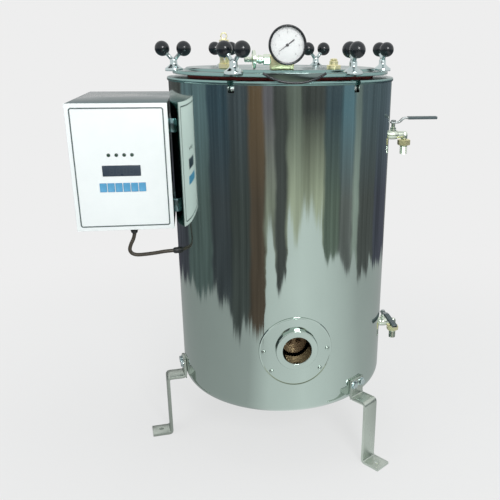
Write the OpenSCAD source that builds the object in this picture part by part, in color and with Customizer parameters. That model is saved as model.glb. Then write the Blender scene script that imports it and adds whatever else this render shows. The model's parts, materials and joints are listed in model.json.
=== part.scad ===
// Vertical autoclave: a jacketed pressure vessel on three bent legs, with a clamped lid, two lever
// valves and a control box at its side. Millimetres, +Z up, the front is at -Y, the origin is on the
// vessel's axis at floor level.

/* [Vessel] */
// Outside radius of the steel jacket
jacket_r = 220; // [212:1:235]
// Thickness of the jacket's sheet
jacket_t = 1.5; // [1:0.5:2.5]
// Height of the jacket's underside above the floor
jacket_base_z = 128; // [110:1:180]
// Height of the jacket, from its underside to the flange
jacket_h = 638; // [610:1:680]
// Corner of the jacket's bottom pan
pan_corner = 30; // [20:1:34]
// Thickness of the vessel's top flange
flange_t = 7; // [6:0.5:9]
// How far the flange stands out past the jacket
flange_out = 2.5; // [1:0.5:4]
// Distance from the jacket's outside to the chamber's inside
wall_space = 48; // [46:1:55]
// Thickness of the chamber's wall
chamber_t = 3; // [2:0.5:4]
// Depth of the chamber below the flange's top
chamber_depth = 520; // [480:1:540]
// Thickness of the insulation blanket round the chamber
blanket_t = 26; // [15:1:32]

/* [Chamber fittings] */
// Diameter of the heater's tube
heater_d = 12; // [8:1:16]
// Distance from the heater's ring to the chamber's inside
heater_inset = 52; // [45:1:70]
// Height of the perforated grid above the chamber's floor
grid_z = 85; // [75:1:110]
// Diameter of the grid's holes
grid_hole_d = 16; // [8:1:20]

/* [Lid] */
// How far the gasket holds the lid above the flange
lid_gap = 6; // [4:0.5:9]
// Thickness of the lid's rim and crown
lid_t = 6; // [5:0.5:7]
// Height of the crown above the lid's rim
crown_h = 5; // [4:0.5:12]
// How far the lid's rim stands out past the clamp bolts' circle
lid_out = 3; // [1:0.5:3]
// Width of the gasket
gasket_w = 8; // [6:0.5:9]
// Depth of the gasket's groove in the lid
groove_deep = 2; // [1:0.5:3]
// Travel of the lid when it is lifted off
lid_lift = 250; // [200:1:300]

/* [Clamps] */
// How far the clamp bolts' circle lies inside the jacket's outside
bolt_inset = 12; // [11:0.5:14]
// Diameter of a clamp bolt
bolt_d = 10; // [8:1:12]
// Diameter of the pin that a clamp bolt swings on
pin_d = 6; // [5:0.5:7]
// Depth of the pin's axis below the flange
pin_drop = 7; // [6:0.5:9]
// Diameter of a clamp bolt's eye
eye_d = 14; // [13:0.5:16]
// Thickness of an ear beside the bolt's eye
ear_t = 5; // [4:0.5:7]
// Radius of a wing nut's foot
nut_foot_r = 17; // [14:0.5:19]
// Radius of a wing nut's waist
nut_waist_r = 7; // [6.5:0.5:9]
// Depth of the flat that is cut in the lid's rim for a wing nut's foot
spot_deep = 3; // [1:0.5:3]
// Height of a wing nut's foot edge
nut_edge = 6; // [3:0.5:7]
// Height of a wing nut's cone above the foot edge
nut_cone = 7; // [5:0.5:9]
// Height of a wing nut's waist above the cone
nut_waist = 10; // [6:0.5:12]
// Diameter of a wing nut's arms
arm_d = 7; // [5:0.5:8]
// Distance of a ball's centre from the nut's axis
ball_out = 21; // [18:0.5:24]
// Height of a ball's centre above the nut's foot
ball_rise = 41; // [36:0.5:46]
// Diameter of a ball knob
ball_d = 28; // [24:0.5:30]

/* [Legs] */
// Width of a leg's strip
leg_w = 38; // [34:1:50]
// Thickness of a leg's strip
leg_t = 6; // [4:0.5:8]
// Distance of a leg's outside from the jacket
leg_out = 44; // [32:1:60]
// Length of a leg's foot
foot_l = 39; // [30:1:45]
// Height of a leg's arm above the jacket's underside
arm_rise = 10; // [4:1:12]
// Height of a leg's tab on the jacket, from the arm's underside
tab_h = 44; // [40:1:50]
// Direction of the first leg, from +X
leg_turn = -53; // [-60:1:-45]
// Diameter of the anchor hole in a foot
anchor_d = 10; // [8:0.5:12]
// Diameter of the bolts that hold the legs
leg_bolt_d = 8; // [6:0.5:10]
// Distance between the two bolts of a leg
leg_bolt_gap = 23; // [18:1:26]

/* [Port] */
// Height of the port's axis above the jacket's underside
port_z = 152; // [145:1:165]
// Radius of the round cover plate
cover_r = 72; // [66:1:80]
// How far the cover's centre lies below the port's axis
cover_drop = 8; // [0:1:12]
// Thickness of the cover plate
cover_t = 2; // [1:0.5:3]
// Outside radius of the port's collar
collar_r = 41; // [38:1:46]
// Radius of the port's hole
port_r = 28; // [26:0.5:31]
// How far the collar stands out past the jacket
collar_out = 14; // [10:1:18]
// Diameter of the cover's screws
screw_d = 5; // [4:0.5:6]

/* [Valves] */
// Height of the steam valve's pipe above the jacket's underside
steam_z = 527; // [480:1:540]
// Rise of the steam valve's lever above its pipe
steam_rise = 25; // [23:1:30]
// Height of the steam lever's bar above its eye
steam_lift = 9; // [4:1:16]
// Height of the drain valve's pipe above the jacket's underside
drain_z = 99; // [80:1:102]
// Rise of the drain valve's lever above its pipe
drain_rise = 23; // [23:1:30]
// Height of the drain lever's bar above its eye
drain_lift = 5; // [4:1:12]
// Distance of a valve's stem from the jacket
stem_out = 18; // [16:0.5:22]
// Radius of a valve's body
valve_r = 10; // [9:0.5:12]
// Distance from the stem to the outlet's axis
outlet_out = 25; // [22:0.5:30]
// Distance from the pipe's axis down to the end of the spout
spout_drop = 40; // [36:1:46]
// Radius of the hose spout
spout_r = 8; // [7:0.5:9]
// Radius of the spout's bore
spout_bore_r = 5; // [4:0.5:6]
// Diameter of a valve's stem
stem_d = 8; // [6:0.5:9]
// Length of a lever from the stem to its tip
lever_l = 94; // [80:1:105]
// Width of a lever
lever_w = 12; // [10:0.5:16]
// Thickness of a lever
lever_t = 4; // [3:0.5:5]

/* [Lid fittings] */
// Diameter of the threaded stub under each lid fitting
stub_d = 12; // [10:0.5:13]
// Gauge case radius
gauge_r = 33; // [28:0.5:33]
// Depth of the gauge case
gauge_deep = 22; // [18:0.5:26]
// Height of the gauge's centre above the lid's crown
gauge_rise = 40.5; // [36:0.5:46]
// Width of the gauge's bezel
bezel_w = 4; // [3:0.5:5]
// Length of the gauge block along the lid
block_l = 42; // [38:1:48]
// Size of the gauge block across flats
block_w = 17; // [15:0.5:19]
// Height of the gauge block's axis above the crown
block_rise = 16.5; // [16.5:0.5:18]
// Radius of the purge valve's wheel
wheel_r = 16; // [10:0.5:16]
// Height of the safety valve's body above the crown
safety_h = 44; // [36:1:46]
// Height of the vent valve's body above the crown
vent_h = 14; // [10:0.5:18]
// Width of the lid's handle
handle_w = 110; // [96:1:120]
// Drop of the handle's middle below its ends
handle_drop = 17; // [12:0.5:20]

/* [Control box] */
// Width of the box
box_w = 187; // [175:1:200]
// Depth of the box
box_d = 340; // [280:1:360]
// Height of the box
box_h = 242; // [225:1:250]
// Height of the box's underside above the jacket's underside
box_z = 358; // [345:1:364]
// Distance of the box's front behind the vessel's front
box_back = 153; // [140:1:165]
// Gap between the box and the jacket
box_gap = 3; // [2:0.5:8]
// Thickness of the box's sheet
box_t = 1.5; // [1:0.5:2]
// Thickness of the front panel
panel_t = 3; // [2:0.5:4]
// Width of a key
key_w = 13; // [10:0.5:13.5]
// Height of a key
key_h = 17; // [12:0.5:18]
// Distance from key to key
key_pitch = 14.7; // [14.5:0.1:16]
// Travel of a key
key_travel = 1.2; // [0.8:0.1:1.5]
// Width of the display window
window_w = 72; // [60:1:80]
// Height of the display window
window_h = 21; // [16:1:26]
// Diameter of an indicator lamp
lamp_d = 5; // [4:0.5:6]

/* [Cable] */
// Diameter of the heater's cable
cable_d = 7.5; // [6:0.5:8]
// Bore of the mains lead's gland
mains_bore_d = 9; // [6:0.5:10]

/* [Hidden] */
// Gap between loose neighbours, running fit on a radius, gap of a bolt in its slot and of a nut over the lid
gap = 0.3;
run = 0.05;
slot_gap = 0.8;
nut_gap = 0.5;
// Overlap of a cutting tool past the face it cuts
past = 1;
CLAMPS = 6;
LEGS = 3;
KEYS = 6;
// Turn of each wing nut's arms from its own outward direction
NUT_TURNS = [-86, -36, 24, -12, 72, -26];

flange_z = jacket_base_z + jacket_h;
rim_z = flange_z + flange_t;
flange_r = jacket_r + flange_out;
lid_z = rim_z + lid_gap;
ledge_z = lid_z + lid_t;
crown_z = ledge_z + crown_h;
bolt_r = jacket_r - bolt_inset;
chamber_r = jacket_r - wall_space;
heater_ring_r = chamber_r - heater_inset;
leg_r = jacket_r + leg_out;
lid_r = bolt_r + lid_out;
crown_r = bolt_r - nut_foot_r - 2;
gasket_in = chamber_r + 3;
gasket_out = gasket_in + gasket_w;
pin_z = flange_z - pin_drop;
slot_half = bolt_d / 2 + slot_gap;
pin_half = slot_half + ear_t;
spot_z = ledge_z - spot_deep;
nut_z = spot_z + nut_gap;
jacket_in = jacket_r - jacket_t;
pan_z = jacket_base_z + pan_corner;
chamber_out = chamber_r + chamber_t;
floor_in_z = rim_z - chamber_depth;
chamber_corner = 24;
port_axis_z = jacket_base_z + port_z;
cover_axis_z = port_axis_z - cover_drop;
heater_z = port_axis_z;
heater_plug_r = 18;
heater_flange_r = 26;
// Radius of the valves' pipes, and where the drain leaves the chamber's floor
pipe_r = 6;
pipe_bore_r = 4;
drain_x = chamber_r - 42;
blanket_in = chamber_out;
blanket_out = blanket_in + blanket_t;

function arc(cx, cy, r, a0, a1, n) =
  [for (i = [0:n]) let (a = a0 + (a1 - a0) * i / n) [cx + r * cos(a), cy + r * sin(a)]];

module at_azimuth(a, r, z) rotate([0, 0, a]) translate([r, 0, z]) children();

// Cylinder along +X from x = 0
module rod_x(r, l, n = 48) rotate([0, 90, 0]) cylinder(r = r, h = l, $fn = n);

// Hexagonal prism along +Z, given across its flats
module hexagon(af, h) cylinder(r = af / sqrt(3), h = h, $fn = 6);

// Vessel

module clamp_slots(z0, z1)
  for (i = [0:CLAMPS - 1]) rotate([0, 0, 60 * i]) {
    translate([bolt_r, -slot_half, z0]) cube([flange_r, 2 * slot_half, z1 - z0]);
    translate([bolt_r, 0, z0]) cylinder(r = slot_half, h = z1 - z0, $fn = 48);
  }

module outer_jacket() color("silver") difference() {
  translate([0, 0, pan_z]) cylinder(r = jacket_r, h = flange_z - pan_z, $fn = 180);
  translate([0, 0, pan_z - past]) cylinder(r = jacket_in, h = flange_z - pan_z + 2 * past, $fn = 180);
  clamp_slots(pin_z - slot_half, flange_z + past);
  translate([0, 0, port_axis_z]) rotate([90, 0, 0]) cylinder(r = collar_r - 6, h = jacket_r + past, $fn = 64);
  for (z = [steam_z, drain_z]) translate([0, 0, jacket_base_z + z]) rod_x(valve_r - 2, jacket_r + past);
}

module jacket_bottom() color("silver") difference() {
  translate([0, 0, jacket_base_z]) rotate_extrude($fn = 180)
    polygon(concat([[0, 0]], arc(jacket_r - pan_corner, pan_corner, pan_corner, -90, 0, 8),
                   arc(jacket_r - pan_corner, pan_corner, pan_corner - jacket_t, 0, -90, 8),
                   [[0, jacket_t]]));
}

module inner_chamber() color("gainsboro") difference() {
  translate([0, 0, floor_in_z - chamber_t]) rotate_extrude($fn = 160)
    polygon(concat([[0, 0]],
                   arc(chamber_out - chamber_corner - chamber_t, chamber_corner + chamber_t,
                       chamber_corner + chamber_t, -90, 0, 6),
                   [[chamber_out, flange_z - floor_in_z + chamber_t],
                    [chamber_r, flange_z - floor_in_z + chamber_t]],
                   arc(chamber_r - chamber_corner, chamber_corner + chamber_t, chamber_corner, 0, -90, 6),
                   [[0, chamber_t]]));
  along_port(heater_z) cylinder(r = heater_plug_r, h = chamber_out + past, $fn = 48);
  translate([0, 0, jacket_base_z + steam_z]) rod_x(pipe_r, chamber_out + past);
  translate([drain_x, 0, floor_in_z - chamber_t - past])
    cylinder(r = pipe_r, h = chamber_t + 2 * past, $fn = 48);
}

module insulation_blanket() color("khaki") difference() {
  translate([0, 0, pan_z + 20]) cylinder(r = blanket_out, h = pin_z - eye_d - pan_z - 30, $fn = 120);
  translate([0, 0, pan_z]) cylinder(r = blanket_in, h = flange_z, $fn = 120);
  translate([0, 0, port_axis_z]) rotate([90, 0, 0]) cylinder(r = collar_r, h = jacket_r, $fn = 64);
  for (z = [steam_z, drain_z]) translate([0, 0, jacket_base_z + z]) rod_x(valve_r + 2, jacket_r);
}

module vessel_flange() color("silver") difference() {
  union() {
    translate([0, 0, flange_z]) rotate_extrude($fn = 180)
      polygon([[chamber_r, 0], [flange_r - 2, 0], [flange_r, 2], [flange_r, flange_t - 2],
               [flange_r - 2, flange_t], [chamber_r, flange_t]]);
    for (i = [0:CLAMPS - 1], s = [-1, 1]) rotate([0, 0, 60 * i])
      translate([bolt_r - eye_d / 2 - 2, s * (slot_half + ear_t / 2) - ear_t / 2, pin_z - pin_d])
        cube([eye_d / 2 + 2 + pin_d, ear_t, flange_z + past - pin_z + pin_d]);
  }
  clamp_slots(flange_z - past, rim_z + past);
  for (i = [0:CLAMPS - 1]) rotate([0, 0, 60 * i])
    translate([bolt_r, -pin_half - past, pin_z]) rotate([-90, 0, 0])
      cylinder(d = pin_d, h = 2 * pin_half + 2 * past, $fn = 48);
}

module clamp_pins() color("gray")
  for (i = [0:CLAMPS - 1]) rotate([0, 0, 60 * i])
    translate([bolt_r, -pin_half, pin_z]) rotate([-90, 0, 0]) cylinder(d = pin_d, h = 2 * pin_half, $fn = 48);

// Legs

arm_z = jacket_base_z + arm_rise;
leg_bolt_z = arm_z + tab_h - 11;
foot_hole_r = leg_r + foot_l / 2;

module leg() difference() {
  union() {
    translate([jacket_in - 2, -leg_w / 2, arm_z]) cube([leg_t + jacket_t + 2, leg_w, tab_h]);
    translate([jacket_in - 2, -leg_w / 2, arm_z]) cube([leg_r - jacket_in + 2, leg_w, leg_t]);
    translate([leg_r - leg_t, -leg_w / 2, 0]) cube([leg_t, leg_w, arm_z + leg_t]);
    translate([leg_r - leg_t, -leg_w / 2, 0]) cube([foot_l + leg_t, leg_w, leg_t]);
  }
  translate([0, 0, jacket_base_z - past]) cylinder(r = jacket_r, h = flange_z, $fn = 180);
  translate([foot_hole_r, 0, -past]) cylinder(d = anchor_d, h = leg_t + 2 * past, $fn = 48);
  for (s = [-1, 1]) translate([jacket_r - 10, s * leg_bolt_gap / 2, leg_bolt_z]) rod_x(leg_bolt_d / 2, 30);
}

module legs() color("silver")
  for (i = [0:LEGS - 1]) rotate([0, 0, leg_turn + 120 * i]) leg();

module leg_bolts() color("silver")
  for (i = [0:LEGS - 1], s = [-1, 1]) rotate([0, 0, leg_turn + 120 * i])
    translate([0, s * leg_bolt_gap / 2, leg_bolt_z]) {
      translate([jacket_r, 0, 0]) rod_x(leg_bolt_d / 2, leg_t);
      translate([jacket_r + leg_t, 0, 0]) rotate([0, 90, 0]) hexagon(leg_bolt_d * 1.6, leg_bolt_d * 0.65);
    }

// Port

module along_port(z) translate([0, 0, z]) rotate([90, 0, 0]) children();

module port_cover() color("silver") difference() {
  intersection() {
    translate([0, 0, cover_axis_z - cover_r - 5])
      cylinder(r = jacket_r + cover_t, h = 2 * cover_r + 10, $fn = 180);
    along_port(cover_axis_z) cylinder(r = cover_r, h = jacket_r + 20, $fn = 96);
  }
  translate([0, 0, cover_axis_z - cover_r - 10]) cylinder(r = jacket_r, h = 2 * cover_r + 20, $fn = 180);
  along_port(port_axis_z) cylinder(r = collar_r, h = jacket_r + 30, $fn = 64);
}

module port_collar() color("silver") difference() {
  along_port(port_axis_z) cylinder(r = collar_r, h = jacket_r + collar_out, $fn = 64);
  along_port(port_axis_z) translate([0, 0, -past]) cylinder(r = port_r, h = jacket_r + 30, $fn = 64);
  translate([0, 0, port_axis_z - collar_r - 5]) cylinder(r = jacket_r, h = 2 * collar_r + 10, $fn = 180);
}

// Angles of the cover's screws round its centre, from the right hand side
SCREWS = [0, 180, -40, -140];
screw_inset = 9;
screw_ring_r = cover_r - screw_inset;

module cover_screws() color("silver")
  for (a = SCREWS)
    let (x = screw_ring_r * cos(a), z = screw_ring_r * sin(a), y = sqrt(pow(jacket_r + cover_t, 2) - x * x))
    translate([x, -y, cover_axis_z + z]) rotate([90, 0, asin(x / (jacket_r + cover_t))])
      cylinder(d = screw_d * 1.8, h = screw_d / 2, $fn = 32);

// The heater's head is a plug through the chamber's wall with a flange outside it
head_len = 16;
head_in = chamber_r - 5;
module heater_head() color("goldenrod") union() {
  difference() {
    translate([0, -head_in, heater_z]) rotate([90, 0, 0])
      cylinder(r = heater_flange_r, h = chamber_out - head_in + head_len, $fn = 48);
    translate([0, 0, heater_z - 2 * heater_flange_r])
      cylinder(r = chamber_out, h = 4 * heater_flange_r, $fn = 160);
  }
  translate([0, -head_in, heater_z]) rotate([90, 0, 0])
    cylinder(r = heater_plug_r, h = chamber_out - head_in + 1, $fn = 48);
  for (s = [-1, 1]) translate([s * 8, -chamber_out - head_len, heater_z]) rotate([90, 0, 0])
    cylinder(r = 2.5, h = 12, $fn = 24);
}

module heater_element() color("dimgray") difference() {
  union() {
    translate([0, 0, heater_z]) rotate_extrude($fn = 96)
      translate([heater_ring_r, 0]) circle(d = heater_d, $fn = 24);
    for (s = [-1, 1]) translate([s * 9, -heater_ring_r, heater_z]) rotate([90, 0, 0])
      cylinder(d = heater_d, h = head_in - heater_ring_r, $fn = 24);
  }
  translate([-4, -heater_ring_r - 20, heater_z - heater_d]) cube([8, 40, 2 * heater_d]);
}

grid_top = floor_in_z + grid_z;
grid_pitch = (chamber_r - 28) / 4;
module chamber_grid() color("gainsboro") difference() {
  union() {
    translate([0, 0, grid_top - 2]) cylinder(r = chamber_r - 2, h = 2, $fn = 120);
    for (a = [90:120:330]) at_azimuth(a, heater_ring_r + 18, floor_in_z)
      cylinder(r = 5, h = grid_z - 1, $fn = 24);
  }
  for (k = [0:3], a = [0:360 / (6 * max(k, 1)):359]) if (k > 0 || a == 0)
    at_azimuth(a, grid_pitch * k, grid_top - 4) cylinder(d = grid_hole_d, h = 6, $fn = 24);
}

// Lever valves: the pipe runs out along +X from the jacket, the outlet turns down

stem_x = jacket_r + stem_out;
outlet_x = stem_x + outlet_out;
ball_r = valve_r - 2.5;
neck_x = 12;
drain_up = floor_in_z - jacket_base_z - drain_z;

module valve_body(z, rise, in_x, up) translate([0, 0, z]) difference() {
  union() {
    translate([in_x, 0, 0]) rod_x(pipe_r, stem_x - in_x);
    if (up > 0) translate([in_x, 0, 0]) {
      sphere(r = pipe_r, $fn = 48);
      cylinder(r = pipe_r, h = up, $fn = 48);
    }
    translate([jacket_r, 0, 0]) rod_x(valve_r - 1, 6);
    translate([stem_x - valve_r, 0, 0]) rod_x(valve_r, 2 * valve_r);
    translate([stem_x, 0, 0]) rod_x(valve_r - 3, outlet_out);
    translate([outlet_x, 0, -valve_r + 3]) cylinder(r = valve_r - 3, h = 2 * valve_r - 6, $fn = 48);
    translate([outlet_x, 0, -valve_r - 12]) hexagon(2 * valve_r + 4, 12);
    translate([outlet_x, 0, -spout_drop]) cylinder(r = spout_r, h = spout_drop, $fn = 48);
    translate([stem_x, 0, 0]) cylinder(r = stem_d / 2 + 3, h = rise - 9, $fn = 48);
  }
  translate([in_x - (up > 0 ? 0 : past), 0, 0]) rod_x(pipe_bore_r, outlet_x - in_x + past);
  if (up > 0) translate([in_x, 0, 0]) cylinder(r = pipe_bore_r, h = up + past, $fn = 48);
  translate([outlet_x, 0, -spout_drop - past]) cylinder(r = spout_bore_r, h = spout_drop + past, $fn = 48);
  translate([stem_x, 0, 0]) sphere(r = ball_r + run, $fn = 48);
  translate([stem_x, 0, 0]) cylinder(r = stem_d / 2 + run, h = rise, $fn = 48);
}

module valve_ball(z, rise, turn) translate([stem_x, 0, z]) rotate([0, 0, turn]) difference() {
  union() {
    sphere(r = ball_r, $fn = 48);
    cylinder(r = stem_d / 2, h = rise - 2, $fn = 48);
    cylinder(r = stem_d / 2 - 1, h = rise + lever_t - 1, $fn = 48);
  }
  translate([-valve_r, 0, 0]) rod_x(pipe_bore_r, 2 * valve_r);
}

// Lever along +X: a low eye, a sloping neck and a long bar
module valve_lever(z, rise, lift, turn) translate([stem_x, 0, z]) rotate([0, 0, turn]) difference() {
  union() {
    translate([0, 0, rise - 2]) cylinder(r = lever_w / 2, h = lever_t, $fn = 48);
    translate([0, lever_w / 2, rise - 2]) rotate([90, 0, 0]) linear_extrude(lever_w)
      polygon([[0, 0], [neck_x, 0], [neck_x + lift, lift], [lever_l, lift], [lever_l, lift + lever_t],
               [neck_x + lift - 1, lift + lever_t], [neck_x - 1, lever_t], [0, lever_t]]);
  }
  translate([0, 0, rise - 2 - past]) cylinder(r = stem_d / 2 - 1, h = lever_t + 2 * past, $fn = 48);
}

module steam_valve_body() color("silver") valve_body(jacket_base_z + steam_z, steam_rise, chamber_r, 0);
module steam_ball() color("silver") valve_ball(jacket_base_z + steam_z, steam_rise, 0);
module steam_lever() color("dimgray") valve_lever(jacket_base_z + steam_z, steam_rise, steam_lift, 0);
module drain_valve_body() color("silver") valve_body(jacket_base_z + drain_z, drain_rise, drain_x, drain_up);
module drain_ball() color("silver") valve_ball(jacket_base_z + drain_z, drain_rise, -90);
module drain_lever() color("dimgray") valve_lever(jacket_base_z + drain_z, drain_rise, drain_lift, -90);

// Control box

box_x1 = -jacket_r - box_gap;
box_x0 = box_x1 - box_w;
box_y0 = -jacket_r + box_back;
box_low_z = jacket_base_z + box_z;
box_top_z = box_low_z + box_h;

module box_cut(inset, y, d)
  translate([box_x0 + inset, y, box_low_z + inset]) cube([box_w - 2 * inset, d, box_h - 2 * inset]);

module control_box() color("silver") difference() {
  box_cut(0, box_y0 + panel_t, box_d - panel_t);
  box_cut(box_t, box_y0 + panel_t - past, box_d - panel_t - box_t + past);
  translate([gland_x, gland_y, box_low_z - past]) cylinder(r = gland_r, h = box_t + 2 * past, $fn = 32);
  translate([mains_x, box_y0 + box_d - box_t - past, mains_z]) rotate([-90, 0, 0])
    cylinder(r = gland_r, h = box_t + 2 * past, $fn = 32);
}

// Places on the panel, from its left edge and from its top
window_x = box_x0 + 94;
window_z = box_top_z - 125;
lamp_x = box_x0 + 94;
lamp_z = box_top_z - 95;
lamp_pitch = 14.5;
keys_x = box_x0 + 94;
keys_z = box_top_z - 157;
board_y = box_y0 + panel_t + 8;
board_rim = 25;
board_z0 = keys_z - board_rim;
board_z1 = lamp_z + board_rim;

function key_x(i) = keys_x + (i - (KEYS + 1) / 2) * key_pitch;

module front_panel() color("white") difference() {
  box_cut(0, box_y0, panel_t);
  translate([window_x - window_w / 2, box_y0 - past, window_z - window_h / 2])
    cube([window_w, panel_t + 2 * past, window_h]);
  for (i = [0:3]) translate([lamp_x + (i - 1.5) * lamp_pitch, box_y0 - past, lamp_z]) rotate([-90, 0, 0])
    cylinder(d = lamp_d + 2 * run, h = panel_t + 2 * past, $fn = 32);
  for (i = [1:KEYS]) translate([key_x(i) - key_w / 2 - gap, box_y0 - past, keys_z - key_h / 2 - gap])
    cube([key_w + 2 * gap, panel_t + 2 * past, key_h + 2 * gap]);
}

module display_window() color("darkslategray")
  translate([window_x - window_w / 2, box_y0 + 0.5, window_z - window_h / 2])
    cube([window_w, board_y - box_y0 - 0.5, window_h]);

module indicator_lamps() color("green")
  for (i = [0:3]) translate([lamp_x + (i - 1.5) * lamp_pitch, box_y0 - 1, lamp_z]) rotate([-90, 0, 0])
    cylinder(d = lamp_d, h = board_y - box_y0 + 1, $fn = 32);

module circuit_board() color("darkgreen") union() {
  translate([box_x0 + board_rim, board_y, board_z0]) cube([box_w - 2 * board_rim, 1.6, board_z1 - board_z0]);
  for (x = [box_x0 + board_rim + 5, box_x1 - board_rim - 5], z = [board_z0 + 5, board_z1 - 5])
    translate([x, box_y0 + panel_t, z]) rotate([-90, 0, 0])
      cylinder(r = 3, h = board_y - box_y0 - panel_t + past, $fn = 24);
  for (i = [1:KEYS]) translate([key_x(i) - 3, board_y - 4, keys_z - 3]) cube([6, 4.5, 6]);
}

// A key stands 1 mm proud of the panel and stops short of its switch
key_back = board_y - 4 - key_travel - gap;
module control_key(i) color("royalblue")
  translate([key_x(i) - key_w / 2, box_y0 - 1, keys_z - key_h / 2])
    cube([key_w, key_back - box_y0 + 1, key_h]);

module key_1() control_key(1);
module key_2() control_key(2);
module key_3() control_key(3);
module key_4() control_key(4);
module key_5() control_key(5);
module key_6() control_key(6);

// Two saddles between the box's wall and the jacket
bracket_h = 26;
bracket_l = 110;
bracket_end = 30;
bracket_y = box_y0 + 17;
module box_brackets() color("silver")
  for (z = [box_low_z + bracket_end, box_top_z - bracket_end - bracket_h]) difference() {
    translate([box_x1, bracket_y, z]) cube([jacket_r / 2, bracket_l, bracket_h]);
    translate([0, 0, z - past]) cylinder(r = jacket_r, h = bracket_h + 2 * past, $fn = 180);
  }

// Glands of the heater's cable and of the mains inlet, and the cable between the first two
gland_r = 7;
gland_x = -304;
gland_y = box_y0 + 25;
mains_x = (box_x0 + box_x1) / 2;
mains_z = box_low_z + 40;
side_turn = -170;
side_z = 432;
gland_len = 14;
side_r = jacket_r + gland_len + 2;
side_x = side_r * cos(side_turn);
side_y = side_r * sin(side_turn);
cable_top = box_low_z - gland_len;

module gland() {
  hexagon(2 * gland_r + 4, 6);
  cylinder(r = gland_r, h = gland_len, $fn = 32);
}

module cable_glands() color("dimgray") union() {
  translate([gland_x, gland_y, box_low_z]) rotate([180, 0, 0]) gland();
  difference() {
    rotate([0, 0, side_turn]) translate([side_r, 0, side_z]) rotate([0, -90, 0])
      cylinder(r = gland_r, h = gland_len + 5, $fn = 32);
    translate([0, 0, side_z - 20]) cylinder(r = jacket_r, h = 40, $fn = 180);
  }
  translate([mains_x, box_y0 + box_d, mains_z]) rotate([-90, 0, 0]) difference() {
    gland();
    translate([0, 0, -past]) cylinder(d = mains_bore_d, h = gland_len + 2 * past, $fn = 32);
  }
}

// Route of the cable: down from the box, round a tight loop and in to the jacket's gland
ROUTE = [[gland_x, gland_y, cable_top], [-307, -42, 461], [-313, -42, 449], [-316, -42, 438],
         [-312, -42, 430], [-302, -42, 426.5], [-284, -42, 427], [-264, -42, 429], [-248, -43, 431.5],
         [side_x, side_y, side_z]];
CABLE_SIDES = 10;

function unit(v) = v / norm(v);
function heading(i) = let (n = len(ROUTE) - 1)
  i == 0 ? [0, 0, -1] : i == n ? [-cos(side_turn), -sin(side_turn), 0] : unit(ROUTE[i + 1] - ROUTE[i - 1]);
function ring(i) = let (t = heading(i), s = unit(cross(t, [0, 1, 0])), u = cross(s, t))
  [for (k = [0:CABLE_SIDES - 1]) let (a = 360 * k / CABLE_SIDES)
    ROUTE[i] + cable_d / 2 * (cos(a) * s + sin(a) * u)];

module heater_cable() color("black") {
  n = len(ROUTE);
  m = CABLE_SIDES;
  points = [for (i = [0:n - 1]) each ring(i)];
  sides = [for (i = [0:n - 2], k = [0:m - 1]) let (a = i * m + k, b = i * m + (k + 1) % m)
    each [[a, b, b + m], [a, b + m, a + m]]];
  caps = [[for (k = [m - 1:-1:0]) k], [for (k = [0:m - 1]) (n - 1) * m + k]];
  polyhedron(points, concat(sides, caps), convexity = 6);
}

// Lid

// Places of the lid's fittings: distances inside the crown's edge, and directions from +X
block_x = -16;
block_y = 51 - crown_r;
gauge_x = block_x + 6.5;
gauge_y = block_y - block_w / 2 - gauge_deep / 2 - 2.5;
safety_in = 36.6;
safety_turn = -139;
vent_in = 40;
vent_turn = -57;
safety_x = (crown_r - safety_in) * cos(safety_turn);
safety_y = (crown_r - safety_in) * sin(safety_turn);
vent_x = (crown_r - vent_in) * cos(vent_turn);
vent_y = (crown_r - vent_in) * sin(vent_turn);

module lid_plate() color("silver") difference() {
  rotate_extrude($fn = 180)
    polygon([[0, crown_z], [crown_r - 5, crown_z], [crown_r, crown_z - 5], [crown_r, ledge_z],
             [lid_r - 1.5, ledge_z], [lid_r, ledge_z - 1.5], [lid_r, lid_z], [gasket_out, lid_z],
             [gasket_out, lid_z + groove_deep], [gasket_in, lid_z + groove_deep], [gasket_in, lid_z],
             [chamber_r - 2, lid_z], [chamber_r - 7, crown_z - lid_t], [0, crown_z - lid_t]]);
  clamp_slots(lid_z - past, ledge_z + past);
  for (i = [0:CLAMPS - 1]) at_azimuth(60 * i, bolt_r, spot_z)
    cylinder(r = nut_foot_r + 1, h = lid_t, $fn = 64);
  for (p = [[gauge_x, block_y], [safety_x, safety_y], [vent_x, vent_y]])
    translate([p[0], p[1], crown_z - lid_t - past])
      cylinder(d = stub_d + 0.2, h = lid_t + 2 * past, $fn = 32);
}

module lid_gasket() color("firebrick") translate([0, 0, rim_z]) difference() {
  cylinder(r = gasket_out - 0.2, h = lid_gap + groove_deep, $fn = 160);
  translate([0, 0, -past]) cylinder(r = gasket_in + 0.2, h = lid_gap + groove_deep + 2 * past, $fn = 160);
}

// The handle is a half moon of plate in front of the lid's rim
handle_x = -6;
handle_gap = 8;
handle_y = -jacket_r - handle_gap;
handle_t = 3;
foot_w = 52;
tip_cut = 2;
handle_z = ledge_z + 2;
handle_arc_r = (handle_w * handle_w / 4 + handle_drop * handle_drop) / (2 * handle_drop);
module half_moon() intersection() {
  translate([0, handle_arc_r - handle_drop]) circle(r = handle_arc_r, $fn = 160);
  translate([tip_cut - handle_w / 2, -handle_drop]) square([handle_w - 2 * tip_cut, handle_drop]);
}

module lid_handle() color("silver") union() {
  translate([handle_x, handle_y + handle_t, handle_z]) rotate([90, 0, 0])
    linear_extrude(handle_t) half_moon();
  difference() {
    translate([handle_x - foot_w / 2, handle_y + handle_t / 3, lid_z + 1])
      cube([foot_w, 3 * handle_gap, handle_t]);
    translate([0, 0, lid_z - past]) cylinder(r = lid_r, h = lid_t + 2 * past, $fn = 180);
  }
}

// Gauge and its brass block

gauge_z = crown_z + gauge_rise;
block_z = crown_z + block_rise;
face_y = gauge_y - gauge_deep / 2;
case_back_y = gauge_y + gauge_deep / 2;

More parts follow.
